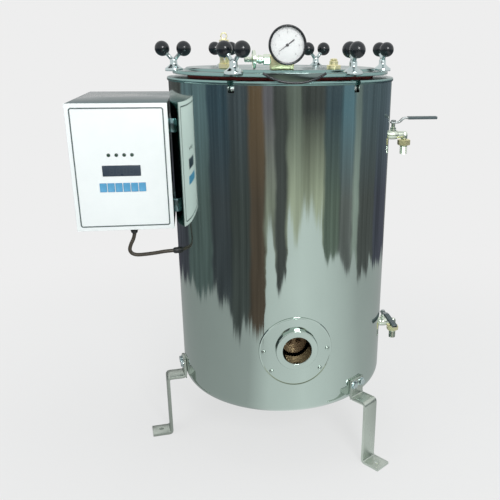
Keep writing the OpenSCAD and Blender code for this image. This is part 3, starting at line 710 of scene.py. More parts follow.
CABLE_RUBBER = Moulded(
    "grey_cable_sheath", "cable_rubber", (0.045, 0.038, 0.03), 0.42, 1200.0, 0.03, (0.2, 0.16, 0.1), 0.2
)
PANEL_WHITE = Moulded(
    "white_fascia_paint", "panel_white", (0.93, 0.97, 0.97), 0.34, 1500.0, 0.006, (0.87, 0.92, 0.92), 0.5, 0.3
)
BORDER_GREY = Moulded(
    "grey_border_print", "display_dark", (0.09, 0.125, 0.125), 0.4, 1500.0, 0.004, (0.14, 0.17, 0.17), 0.4
)
DISPLAY_DARK = Moulded(
    "slate_display_filter", "display_dark", (0.035, 0.055, 0.08), 0.3, 1500.0, 0.003, (0.05, 0.07, 0.1), 0.4
)
BAR_GREY = Moulded(
    "unlit_figure_bars", "display_dark", (0.05, 0.07, 0.09), 0.35, 1500.0, 0.004, (0.07, 0.09, 0.1), 0.4
)
LAMP_GREEN = Moulded(
    "green_lamp_lens", "lamp_green", (0.012, 0.05, 0.025), 0.12, 1500.0, 0.002, (0.04, 0.12, 0.06), 0.2, 0.8
)
KEY_BLUE = Moulded("blue_key_film", "key_blue", (0.09, 0.36, 0.62), 0.4, 1500.0, 0.01, (0.14, 0.42, 0.66), 0.5)
BOARD_GREEN = Board("board_lacquer", "board_green", (0.01, 0.09, 0.03))
DIAL_WHITE = Moulded(
    "white_dial_enamel", "dial_white", (0.97, 0.97, 0.97), 0.5, 1500.0, 0.004, (0.94, 0.94, 0.93), 0.3
)
MARK_GREY = Moulded("grey_dial_print", "needle_black", (0.22, 0.21, 0.23), 0.5, 1500.0, 0.004)
NEEDLE_BLACK = Moulded("black_needle_enamel", "needle_black", (0.02, 0.015, 0.02), 0.45, 1500.0, 0.004)
CLEAR_GLASS = Clear("gauge_glass_sheet", "clear_glass", (0.95, 0.98, 0.98), 0.05)
BLANKET = Felt("mineral_felt", "blanket", (0.42, 0.36, 0.22))


def fit(obj: Piece, finish: Finish, *nodes: str, body: str = "vessel") -> None:
    """Dresses a piece, puts it on its body and hides the CAD nodes that it stands for.

    Args:
        obj: The piece.
        finish: Its finish.
        *nodes: The CAD nodes that it replaces.
        body: The CAD body that it rides on.
    """
    finish.dress(obj)
    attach(obj, body)
    if nodes:
        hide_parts(*nodes)
    log.info("%s on %s, %d faces", obj.name, body, len(obj.data.polygons))


def keep(frame: dict, finish: Finish, *nodes: str) -> None:
    """Gives CAD nodes that stay in sight a finish.

    Args:
        finish: The finish.
        *nodes: The nodes' names.
    """
    for name in nodes:
        finish.dress(frame["nodes"][name])
        log.info("%s keeps its CAD shape", name)


@dataclass
class Vessel:
    """Jacket, bottom pan, chamber, blanket and top flange. Sizes in millimetres."""

    radius: float = 220.0
    wall: float = 1.5
    base_z: float = 128.0
    corner: float = 30.0
    flange_z: float = 766.0
    rim_z: float = 773.0
    flange_r: float = 222.5
    roll: float = 2.5
    chamber_r: float = 172.0
    chamber_wall: float = 3.0
    chamber_corner: float = 24.0
    floor_z: float = 253.0
    blanket_r: float = 201.0
    blanket_z: Flat = (178.0, 735.0)
    band_pitch: float = 93.0
    bolt_r: float = 208.0
    slot_half: float = 5.8
    ear_t: float = 5.0
    pin_z: float = 759.0
    port_z: float = 280.0
    valve_z: Flat = (655.0, 227.0)

    def slots(self, low: float, high: float) -> list[Piece]:
        """Cutting tools for the bolt slots.

        Args:
            low: Where the slots start.
            high: Where they end.

        Returns:
            A tool for their straight sides and one for their round ends.
        """
        half = self.slot_half
        side = Bench.block("side", mm(self.bolt_r, -half, low), mm(self.bolt_r + 40, half, high), 0.05, 1)
        end = Bench.rod(half, high - low, mm(self.bolt_r, 0, low), steps=24)
        return [Bench.repeat(side, "slot_sides"), Bench.repeat(end, "slot_ends")]

    def openings(self, port: float, pipe: float) -> list[Piece]:
        """Cutting tools for the port and the two valves' pipes, of these radii."""
        tools = [Bench.rod(port, 60, mm(0, -165, self.port_z), -Y_AXIS, 48)]
        return tools + [Bench.rod(pipe, 60, mm(165, 0, z), X_AXIS) for z in self.valve_z]

    def build_jacket(self) -> None:
        """The jacket's wall with its openings and bolt slots, and its welded seam."""
        top, low, inside = self.flange_z, self.base_z + self.corner, self.radius - self.wall
        rows = [low + (top - low) * i / 28 for i in range(29)]
        outline = closed([(self.radius, z) for z in rows] + [(inside, z) for z in reversed(rows)])
        jacket = Bench.turn("jacket_wall", outline, Vector(), steps=192)
        tools = self.slots(self.pin_z - self.slot_half, top + 1) + self.openings(35, 8)
        fit(Bench.carve(jacket, *tools), JACKET_STEEL, "outer_jacket")
        start, end = mm(-1.6, self.radius - 0.6, low + 2), mm(1.6, self.radius + 0.5, top - 1)
        fit(Bench.block("jacket_seam", start, end, 0.45, 3), BARE_STEEL)

    def build_pan(self) -> None:
        """The bottom pan with its rounded corner."""
        c, r, t = self.corner, self.radius, self.wall
        rings = [(r - c) * i / 5 for i in range(5)]
        outline = [(x, 0.0) for x in rings] + arc((r - c, c), c, -90, 0, 14)
        outline += arc((r - c, c), c - t, 0, -90, 14) + [(x, t) for x in reversed(rings)]
        pan = Bench.turn("jacket_pan", outline, mm(0, 0, self.base_z), steps=192)
        fit(pan, JACKET_STEEL, "jacket_bottom")

    def build_chamber(self) -> None:
        """The pressure chamber: a pot with a rounded floor, seen when the lid is off."""
        r, t, c, deep = self.chamber_r, self.chamber_wall, self.chamber_corner, self.flange_z - self.floor_z
        outline = [(0, -t), (80, -t)] + arc((r - c, c), c + t, -90, 0, 8) + [(r + t, deep), (r, deep)]
        outline += arc((r - c, c), c, 0, -90, 8) + [(80, 0), (0, 0)]
        pot = Bench.turn("chamber_pot", outline, mm(0, 0, self.floor_z), steps=128)
        plug = Bench.rod(18, 40, mm(0, -150, self.port_z), -Y_AXIS)
        pipe = Bench.rod(6, 40, mm(150, 0, self.valve_z[0]), X_AXIS, 24)
        drain = Bench.rod(6, 20, mm(130, 0, self.floor_z - 10), Z_AXIS, 24)
        fit(Bench.carve(pot, plug, pipe, drain), INNER_STEEL, "inner_chamber")

    def build_blanket(self) -> None:
        """The blanket round the chamber, drawn in a little where its bands lie."""
        low, high = self.blanket_z
        inner = self.chamber_r + self.chamber_wall + 0.2
        rows = [low + (high - low) * i / 44 for i in range(45)]
        waist = [3.0 * abs(math.cos(math.pi * (z - low) / self.band_pitch)) ** 6 for z in rows]
        skin = [(self.blanket_r - deep, z) for deep, z in zip(waist, rows)]
        outline = closed([(inner, low)] + skin + [(inner, high)])
        blanket = Bench.turn("felt_blanket", outline, Vector(), steps=96, smooth=60)
        fit(Bench.carve(blanket, *self.openings(41, 12), smooth=60), BLANKET, "insulation_blanket")

    def build_flange(self) -> None:
        """The top flange with its rolled rim, bolt slots and ears, and the ears' pins."""
        r0, r1, t, c = self.chamber_r, self.flange_r, self.rim_z - self.flange_z, self.roll
        rim = [(r0, 0.4), (r0 + 0.4, 0), (r1 - c, 0)] + arc((r1 - c, c), c, -90, 0, 5)
        rim += arc((r1 - c, t - c), c, 0, 90, 5) + [(r0 + 0.4, t), (r0, t - 0.4)]
        flange = Bench.turn("flange_ring", closed(rim), mm(0, 0, self.flange_z), steps=192)
        Bench.cut(flange, *self.slots(self.flange_z - 1, self.rim_z + 1))
        near, far = self.slot_half, self.slot_half + self.ear_t
        ears = [
            Bench.block("ear", mm(199, start, 753), mm(214, start + self.ear_t, self.flange_z + 0.5), 0.7)
            for start in (-far, near)
        ]
        flange = Bench.weld("flange_ring", flange, Bench.repeat(Bench.join("ear", *ears), "ears"))
        fit(flange, LID_STEEL, "vessel_flange")
        outline = ring(0, 3, 0, 2 * far, (0.6, 0.6))
        pin = Bench.turn("pin", outline, mm(self.bolt_r, -far, self.pin_z), Y_AXIS, 24)
        fit(Bench.repeat(pin, "ear_pins"), BARE_STEEL, "clamp_pins")

    def build(self) -> None:
        """Builds the whole vessel."""
        self.build_jacket()
        self.build_pan()
        self.build_chamber()
        self.build_blanket()
        self.build_flange()


@dataclass
class Legs:
    """Three bent strip legs with their bolts. Sizes in millimetres."""

    angles: Point = (-53.0, 67.0, 187.0)
    width: float = 38.0
    thickness: float = 6.0
    tab_r: float = 222.8
    outside_r: float = 264.0
    anchor_r: float = 283.5
    foot_end: float = 303.0
    arm_z: float = 138.0
    tab_top: float = 182.0
    bolt_z: float = 171.0
    bolt_half: float = 11.5

    def build(self) -> None:
        """Bends one leg, bores its foot, adds its bolts, and repeats both."""
        half, t = self.width / 2, self.thickness
        upright, arm = self.outside_r - t / 2, self.arm_z + t / 2
        corners = [(self.tab_r, self.tab_top), (self.tab_r, arm), (upright, arm), (upright, t / 2)]
        line = rounded(corners + [(self.foot_end, t / 2)], 7.0, 6)
        leg = Bench.strip("leg", [mm(r, -half, z) for r, z in line], mm(0, self.width, 0), t, 0.8)
        Bench.cut(leg, Bench.rod(5, 20, mm(self.anchor_r, 0, -5)))
        ends = [mm(220.2, y, self.arm_z - 0.6) for y in (2 - half, half - 2)]
        leg = Bench.weld("leg", leg, Bench.strip("leg_weld", ends, mm(2.4, 0, 0), 1.6, 0.7))
        fit(Bench.repeat(leg, "strip_legs", self.angles), BARE_STEEL, "legs")
        bolts = []
        for s in (-1, 1):
            seat = mm(self.tab_r + t / 2, s * self.bolt_half, self.bolt_z)
            bolts.append(Bench.turn("washer", ring(4, 9.4, 0, 1.4, (0.4, 0.4)), seat, X_AXIS, 40))
            head = ring(0, 7.39, 1.4, 6, (0.79, 0.4), (1.19, 0.8))
            side = Vector((0, math.sin(0.3 * s), math.cos(0.3 * s)))
            bolts.append(Bench.turn("head", head, seat, X_AXIS, side=side, **HEXAGON))
        bolt = Bench.join("leg_bolt", *bolts)
        fit(Bench.repeat(bolt, "leg_screws", self.angles), CHROME, "leg_bolts")


@dataclass
class Port:
    """The round port low on the front, and the heater's head behind it. Sizes in millimetres."""

    jacket_r: float = 220.0
    axis_z: float = 280.0
    cover_z: float = 272.0
    cover_r: float = 72.0
    cover_t: float = 2.0
    collar_r: float = 41.0
    collar_start: float = 200.0
    collar_end: float = 234.0
    hole_r: float = 28.0
    heater_r: float = 26.0
    terminal_half: float = 8.0
    screw_ring: float = 63.0
    screw_angles: tuple[float, ...] = (0.0, 180.0, -40.0, -140.0)

    def build_cover(self) -> None:
        """The cover plate: a disc with a beaded rim, rolled to the jacket's curve."""
        r, t = self.cover_r, self.cover_t
        rings = [r * i / 16 for i in range(16)]
        rim = [(r - 3.0, t), (r - 2.2, 2.5), (r - 1.1, 2.8), (r - 0.3, 2.2), (r, 1.2), (r, 0.0)]
        outline = [(x, t) for x in rings] + rim + [(x, 0.0) for x in reversed(rings)]
        disc = Bench.turn("cover_plate", outline, mm(0, -self.jacket_r, self.cover_z), -Y_AXIS, 96)
        for vertex in disc.data.vertices:
            vertex.co.y = -math.sqrt(vertex.co.y**2 - vertex.co.x**2)
        hole = Bench.rod(self.collar_r, 80, mm(0, -190, self.axis_z), -Y_AXIS, 96)
        fit(Bench.carve(disc, hole), JACKET_STEEL, "port_cover")

    def build_collar(self) -> None:
        """The collar: a short tube with a rounded lip and a step inside."""
        r, bore, high = self.collar_r, self.hole_r, self.collar_end - self.collar_start
        outline = [(bore, 0), (bore, high - 1.6)] + arc((bore + 1.2, high - 1.2), 1.2, 180, 90, 4)
        outline += [(bore + 4, high - 0.3), (r - 3, high - 0.8)] + arc((r - 1.8, high - 2.4), 1.8, 75, 0, 5)
        outline = closed(outline + [(r, 10), (bore + 3, 8)])
        collar = Bench.turn("port_ring", outline, mm(0, -self.collar_start, self.axis_z), -Y_AXIS, 96)
        fit(collar, JACKET_STEEL, "port_collar")

    def build_screws(self) -> None:
        """The cover's pan-head screws with their cross slots."""
        dome = [(0, 0), (4.5, 0), (4.5, 0.9), (4.0, 1.7), (2.8, 2.3), (1.2, 2.5), (0, 2.5)]
        screws = []
        for angle in map(math.radians, self.screw_angles):
            x, z = self.screw_ring * math.cos(angle), self.screw_ring * math.sin(angle)
            foot = Vector((x, -math.sqrt((self.jacket_r + self.cover_t) ** 2 - x * x), 0))
            seat, out = foot * MM + mm(0, 0, self.cover_z + z), foot.normalized()
            head = Bench.turn("screw", dome, seat, out, 32)
            for way in (out.cross(Z_AXIS), Z_AXIS):
                ends = [seat + (out * 2.6 + way * reach) * MM for reach in (-1.9, 1.9)]
                Bench.cut(head, Bench.strip("cross", ends, -out * 1.3 * MM, 0.8, 0.05))
            screws.append(head)
        fit(Bench.weld("cover_pan_screws", *screws), JACKET_STEEL, "cover_screws")

    def build_heater_head(self) -> None:
        """The heater's flanged plug with its two terminals, each a post, a bush and a nut."""
        rim, z = self.heater_r, self.axis_z
        outline = [(0, 0), (18, 0), (18, 8), (rim, 8.2), (rim, 22.6), (rim - 1.4, 24)]
        outline += [(14, 24), (13, 22.6), (0, 22.6)]
        parts = [Bench.turn("plug", outline, mm(0, -167, z), -Y_AXIS, 48)]
        post = [(0, 0), (2.5, 0), (2.5, 10.6), (1.9, 11.6), (0, 11.6)]
        bush = [(2.4, 0), (4.8, 0), (4.4, 4), (2.4, 4.4)]
        nut = ring(2.4, 4.6, 0, 3.2, (0.4, 0.5))
        for x in (-self.terminal_half, self.terminal_half):
            parts.append(Bench.turn("post", post, mm(x, -191, z), -Y_AXIS, 20))
            parts.append(Bench.turn("bush", bush, mm(x, -190.4, z), -Y_AXIS, 24))
            parts.append(Bench.turn("nut", nut, mm(x, -195.2, z), -Y_AXIS, **HEXAGON))
        fit(Bench.join("heater_plug", *parts), HEATER_METAL, "heater_head")

    def build(self) -> None:
        """Builds the port and what is behind it."""
        self.build_cover()
        self.build_collar()
        self.build_screws()
        self.build_heater_head()


class Outlet(Enum):
    """The two lever valves: name, height and inner end of the pipe, the lever's rise, lift and heading."""

    STEAM = ("steam", 655.0, 172.0, 25.0, 9.0, 0.0)
    DRAIN = ("drain", 227.0, 130.0, 23.0, 5.0, -90.0)


@dataclass
class LeverValve:
    """A quarter-turn valve with its outlet turned down. Sizes in millimetres."""

    outlet: Outlet
    jacket_r: float = 220.0
    stem_x: float = 238.0
    outlet_x: float = 263.0
    pipe_r: float = 6.0
    spout_r: float = 8.0
    bore_r: float = 5.0
    lever_l: float = 94.0
    lever_w: float = 12.0
    crank: float = 12.0

    def build_body(self) -> None:
        """The body in one line with its union, housing and elbow, and the spout with its nut below."""
        name, z, start, rise, _, _ = self.outlet.value
        x0, stem, out, bore = self.jacket_r, self.stem_x, self.outlet_x, self.bore_r
        line = [
            (0, start), (self.pipe_r, start), (self.pipe_r, x0 + 6), (7, x0 + 7), (7, stem - 11),
            (8.6, stem - 10), (9.7, stem - 6), (10, stem), (9.7, stem + 6), (8.6, stem + 9.5),
            (7.4, stem + 10.5),
            (7, out - 5), (6.6, out), (5.2, out + 4.2), (2.8, out + 6.3), (0, out + 7),
        ]
        housing = [(4.2, 6), (7, 7), (7, rise - 15), (6, rise - 14), (6, rise - 10)]
        housing += [(4.05, rise - 9.2), (4.05, 6)]
        elbow = [(5, -9.5), (6.6, -9), (7, -5), (6.8, 2), (5, 5.6), (2.6, 6.8), (0, 7)]
        r = self.spout_r
        spout = [(r, -22.0)]
        for top in (-24.5, -28.5, -32.5, -36.5):
            spout += [(r, top), (r - 1.0, top - 0.6), (r - 0.2, top - 3.4)]
        spout += [(r - 0.6, -39.4), (r - 1.2, -40), (bore, -40), (bore, -22)]
        below = mm(out, 0, z)
        parts = (
            Bench.turn("barrel", line, mm(0, 0, z), X_AXIS, 48),
            Bench.turn("union", ring(5, 9.8, 0, 6.3, (1.4, 0.9)), mm(x0 + 0.2, 0, z), X_AXIS, **HEXAGON),
            Bench.turn("housing", housing, mm(stem, 0, z), steps=40),
            Bench.turn("elbow", elbow, below, steps=40),
            Bench.turn("spout", spout, below, steps=40),
        )
        fit(Bench.join(f"{name}_valve_casting", *parts), VALVE_CHROME, f"{name}_valve_body")
        nut = closed(ring(bore, 13.8, -22, -10, (1.6, 1.2)))
        fit(Bench.turn(f"{name}_outlet_nut", nut, below, side=Y_AXIS, **HEXAGON), BRASS)

    def build_lever(self) -> None:
        """The cranked lever: a steel bar with a grip sleeve, held by a nut."""
        name, z, _, rise, lift, heading = self.outlet.value
        half, crank, top = self.lever_w / 2, self.crank, rise + lift
        path = rounded([(-half, rise), (crank, rise), (crank + lift, top), (self.lever_l, top)], 4.0, 4)
        line = [mm(x, 1 - half, h) for x, h in path]
        bar = Bench.strip(f"{name}_bar", line, mm(0, 2 * half - 2, 0), 3.6, 0.8)
        seat = mm(0, 0, rise)
        washer = Bench.turn("washer", ring(0, 5.8, 1.2, 2.4, (0.4, 0.4)), seat, steps=32)
        nut = Bench.turn("nut", ring(0, 5, 2.4, 5.2, (0.6, 0.4), (0.8, 0.6)), seat, **HEXAGON)
        bar = Bench.join(f"{name}_lever_bar", bar, washer, nut)
        ends = mm(crank + lift + 9, -half, top - 3), mm(self.lever_l, half, top + 3)
        grip = Bench.block(f"{name}_lever_grip", *ends, 1.8, 3)
        for piece in (bar, grip):
            piece.data.transform(Matrix.Translation(mm(self.stem_x, 0, z)) @ about_z(heading))
        fit(bar, LEVER_STEEL, f"{name}_lever", body=f"{name}_handle")
        fit(grip, GRIP_VINYL, body=f"{name}_handle")

    def build(self) -> None:
        """Builds the valve."""
        self.build_body()
        self.build_lever()


@dataclass
class ControlBox:
    """Sheet box with its fascia, window, lamps, keys and saddles. Sizes in millimetres."""

    x0: float = -410.0
    x1: float = -223.0
    y0: float = -67.0
    y1: float = 273.0
    z0: float = 486.0
    z1: float = 728.0
    sheet: float = 1.5
    panel_t: float = 3.0
    middle: float = -316.0
    cable_hole: Flat = (-304.0, -42.0)
    mains_hole: Flat = (-316.5, 526.0)
    gland_r: float = 7.0
    window: Flat = (72.0, 21.0)
    window_z: float = 603.0
    lamp_z: float = 633.0
    lamp_pitch: float = 14.5
    keys_z: float = 571.0
    key: Flat = (13.0, 17.0)
    key_gap: float = 0.3
    key_pitch: float = 14.7
    border_inset: float = 7.5
    border_w: float = 2.4
    jacket_r: float = 219.9

    def build_sheet(self) -> None:
        """The folded box, open at the front, and the screws on its back."""
        x0, x1, y1, z0, z1, t = self.x0, self.x1, self.y1, self.z0, self.z1, self.sheet
        shell = Bench.block("sheet_box", mm(x0, self.y0 + self.panel_t, z0), mm(x1, y1, z1), 2.2, 3)
        inside = Bench.block("inside", mm(x0 + t, self.y0 - 20, z0 + t), mm(x1 - t, y1 - t, z1 - t), 0.7, 1)
        cable = Bench.rod(self.gland_r, 20, mm(*self.cable_hole, z0 - 10))
        mains = Bench.rod(self.gland_r, 20, mm(self.mains_hole[0], y1 - 10, self.mains_hole[1]), Y_AXIS)
        fit(Bench.carve(shell, inside, cable, mains), BOX_STEEL, "control_box")
        dome = [(0, 0), (3.6, 0), (3.4, 1.2), (2.2, 2.0), (0, 2.2)]
        places = [mm(x, y1, z) for x in (x0 + 12, x1 - 12) for z in (z0 + 12, z1 - 12)]
        screws = [Bench.turn("back_screw", dome, place, Y_AXIS, 24) for place in places]
        fit(Bench.join("box_back_screws", *screws), CHROME)

    def front(
        self, name: str, x: float, z: float, size: Flat, near: float, far: float, edge: float, steps: int
    ) -> Piece:
        """A block about a point of the panel.

        Args:
            name: Its name.
            x: Its middle across.
            z: Its middle in height.
            size: Its width and height.
            near: Where it starts, behind the panel's face.
            far: Where it ends.
            edge: Width of its rounding.
            steps: Number of faces across the rounding.

        Returns:
            The block.
        """
        w, h = size[0] / 2, size[1] / 2
        return Bench.block(name, mm(x - w, self.y0 + near, z - h), mm(x + w, self.y0 + far, z + h), edge, steps)

    def lamp(self, number: int, before: float = 0.0) -> Vector:
        """Place of a lamp, counted from 0, or a point before it."""
        return mm(self.middle + (number - 1.5) * self.lamp_pitch, self.y0 - before, self.lamp_z)

    def key_x(self, number: int) -> float:
        """Middle of a key, counted from 1."""
        return self.middle + (number - 3.5) * self.key_pitch

    def build_fascia(self) -> None:
        """The white front plate with its openings."""
        low, high = mm(self.x0, self.y0, self.z0), mm(self.x1, self.y0 + self.panel_t, self.z1)
        plate = Bench.block("fascia", low, high, 0.8, 2)
        room = tuple(side + 2 * self.key_gap for side in self.key)
        holes = [(self.middle, self.window_z, self.window)]
        holes += [(self.key_x(i), self.keys_z, room) for i in range(1, 7)]
        tools = [self.front("opening", *hole, -5, 6, 0.6, 2) for hole in holes]
        tools += [Bench.rod(2.55, 12, self.lamp(i, 5), Y_AXIS, 24) for i in range(4)]
        fit(Bench.carve(plate, *tools), PANEL_WHITE, "front_panel")

    def build_border(self) -> None:
        """The border printed on the front plate, a thin frame with round corners."""
        Bench.hold()
        middle = mm((self.x0 + self.x1) / 2, self.y0 - 0.02, (self.z0 + self.z1) / 2)
        bpy.ops.mesh.primitive_plane_add(size=1, location=middle, rotation=(math.pi / 2, 0, 0))
        width, height = self.x1 - self.x0 - 2 * self.border_inset, self.z1 - self.z0 - 2 * self.border_inset
        bpy.ops.transform.resize(value=(width * MM, 1, height * MM))
        bpy.ops.object.transform_apply(location=True, rotation=True, scale=True)
        Bench.edit()
        bpy.ops.mesh.bevel(offset=5 * MM, segments=5, affect="VERTICES")
        bpy.ops.mesh.select_all(action="SELECT")
        bpy.ops.mesh.inset(thickness=self.border_w * MM)
        bpy.ops.mesh.delete(type="FACE")
        bpy.ops.mesh.select_all(action="SELECT")
        bpy.ops.mesh.extrude_region_move(TRANSFORM_OT_translate={"value": (0, -0.25 * MM, 0)})
        Bench.outwards()
        fit(Bench.settle("fascia_border"), BORDER_GREY)

    def build_window(self) -> None:
        """The display's dark window with the bars of its unlit figures."""
        x, z = self.middle, self.window_z
        glass = self.front("display_glass", x, z, tuple(side - 0.4 for side in self.window), -0.4, 8, 0.8, 3)
        fit(glass, DISPLAY_DARK, "display_window")
        level, upright = (5, 1.1), (1.1, 4.6)
        figure = [(0, 6, level), (0, 0, level), (0, -6, level)]
        figure += [(dx, dz, upright) for dz in (3, -3) for dx in (-3.2, 3.2)]
        bars = [
            self.front("bar", x - 18.6 + place * 12.4 + dx, z + dz, size, -0.5, -0.3, 0.08, 1)
            for place in range(4)
            for dx, dz, size in figure
        ]
        fit(Bench.join("display_bars", *bars), BAR_GREY)

    def build_lamps(self) -> None:
        """Four domed lamps, each in a small black ring."""
        dome = [(0, -9), (2.45, -9), (2.45, -0.2), (2.3, 0.3), (1.7, 0.75), (0.9, 0.95), (0, 1.0)]
        rim = closed([(2.5, -0.5), (2.5, 0.5), (2.9, 0.7), (3.4, 0.5), (3.6, 0.0), (3.6, -0.5)])
        for name, outline, finish, nodes in (
            ("lamp_domes", dome, LAMP_GREEN, ["indicator_lamps"]),
            ("lamp_rings", rim, BORDER_GREY, []),
        ):
            parts = [Bench.turn("part", outline, self.lamp(i), -Y_AXIS, 32) for i in range(4)]
            fit(Bench.join(name, *parts), finish, *nodes)

    def build_keys(self) -> None:
        """Six keys with a dished face, each on its own body."""
        for i in range(1, 7):
            key = self.front(f"key_cap_{i}", self.key_x(i), self.keys_z, self.key, -1, 5, 0.7, 3)
            Bench.edit()
            bpy.ops.mesh.select_all(action="DESELECT")
            bpy.ops.object.mode_set(mode="OBJECT")
            face = min(key.data.polygons, key=lambda polygon: (round(polygon.center.y, 6), -polygon.area))
            face.select = True
            bpy.ops.object.mode_set(mode="EDIT")
            bpy.ops.mesh.select_mode(type="FACE")
            bpy.ops.mesh.inset(thickness=1.3 * MM)
            bpy.ops.mesh.inset(thickness=0.5 * MM, depth=-0.35 * MM)
            bpy.ops.mesh.select_mode(type="VERT")
            fit(Bench.settle(f"key_cap_{i}"), KEY_BLUE, f"key_{i}", body=f"key_{i}_body")

    def build_saddles(self) -> None:
        """Two saddles between the box and the jacket."""
        saddles = []
        for z in (self.z0 + 30, self.z1 - 56):
            saddle = Bench.block("saddle", mm(self.x1 - 0.2, -50, z), mm(-190, 60, z + 26), 0.8, 2)
            saddles.append(Bench.cut(saddle, Bench.rod(self.jacket_r, 36, mm(0, 0, z - 5), steps=160)))
        fit(Bench.weld("box_saddles", *saddles), BOX_STEEL, "box_brackets")

    def build(self, frame: dict) -> None:
        """Builds the box and dresses the board inside it.
        """
        self.build_sheet()
        self.build_fascia()
        self.build_border()
        self.build_window()
        self.build_lamps()
        self.build_keys()
        self.build_saddles()
        keep(frame, BOARD_GREEN, "circuit_board")


@dataclass
class HeaterCable:
    """The cable from the box to the jacket, and the three glands. Sizes in millimetres."""

    radius: float = 3.75
    length: float = 133.0
    gland_r: float = 7.0
    gland_l: float = 14.0
    jacket_r: float = 219.4
    side_z: float = 432.0
    side_angle: float = -170.0
    route: tuple[Point, ...] = (
        (-304, -42, 475), (-304, -42, 472), (-307, -42, 461), (-313, -42, 449), (-316, -42, 438),
            (-312, -42, 430),
        (-302, -42, 426.5), (-284, -42, 427), (-264, -42, 429), (-248, -43, 431.5), (-232.4, -41, 432),
        (-229, -40.4, 432),
    )

    def smooth_route(self) -> list[Vector]:
        """The route drawn as one smooth curve through its points."""
        p = [mm(*place) for place in self.route]
        p = [p[0] * 2 - p[1]] + p + [p[-1] * 2 - p[-2]]
        line = []
        for a, b, c, d in zip(p, p[1:], p[2:], p[3:]):
            square, cube = 2 * a - 5 * b + 4 * c - d, 3 * b - a - 3 * c + d
            line += [0.5 * (2 * b + (c - a) * t + square * t**2 + cube * t**3) for t in (0, 0.2, 0.4, 0.6, 0.8)]
        return line + [p[-2]]

    def gland(self, base: Vector, axis: Vector, bore: float = 0.0) -> Piece:
        """A gland: hexagon flange and fluted dome nut.

        Args:
            base: Where it sits on the sheet.
            axis: Direction away from the sheet.
            bore: Radius of its hole, 0 where the cable fills it.

        Returns:
            The gland.
        """
        r, end = self.gland_r, self.gland_l
        flange = Bench.turn("flange", ring(bore, 10.2, 0, 6, (1.6, 0.8), (1.4, 0.8)), base, axis, **HEXAGON)
        dome = [(bore, 6), (r, 6), (r, end - 4.5), (r - 0.8, end - 2), (r - 2.2, end - 0.6)]
        dome += [(max(bore, 4.0), end)]
        return Bench.join("gland", flange, Bench.turn("cap", dome + [(bore, end - 0.4)], base, axis, 12, 20))

    def build(self) -> None:
        """Builds the cable and its glands."""
        line = self.smooth_route()
        cable = Bench.tube("heater_lead", line, self.radius)
        fit(cable, CABLE_RUBBER, "heater_cable")
        glands = self.gland(mm(-304, -42, 486), -Z_AXIS), self.gland(mm(-316.5, 273, 526), Y_AXIS, 4.5)
        fit(Bench.join("lead_glands", *glands), GLAND_BLACK, "cable_glands")
        out = about_z(self.side_angle) @ X_AXIS
        boss = [(0, 0), (7, 0), (7, 3), (6.4, 3.6), (6.4, 9.6), (5.4, 12), (3.9, 13.6), (0, 13.8)]
        seat = out * self.jacket_r * MM + mm(0, 0, self.side_z)
        fit(Bench.turn("side_gland", boss, seat, out, 32), GLAND_BLACK)


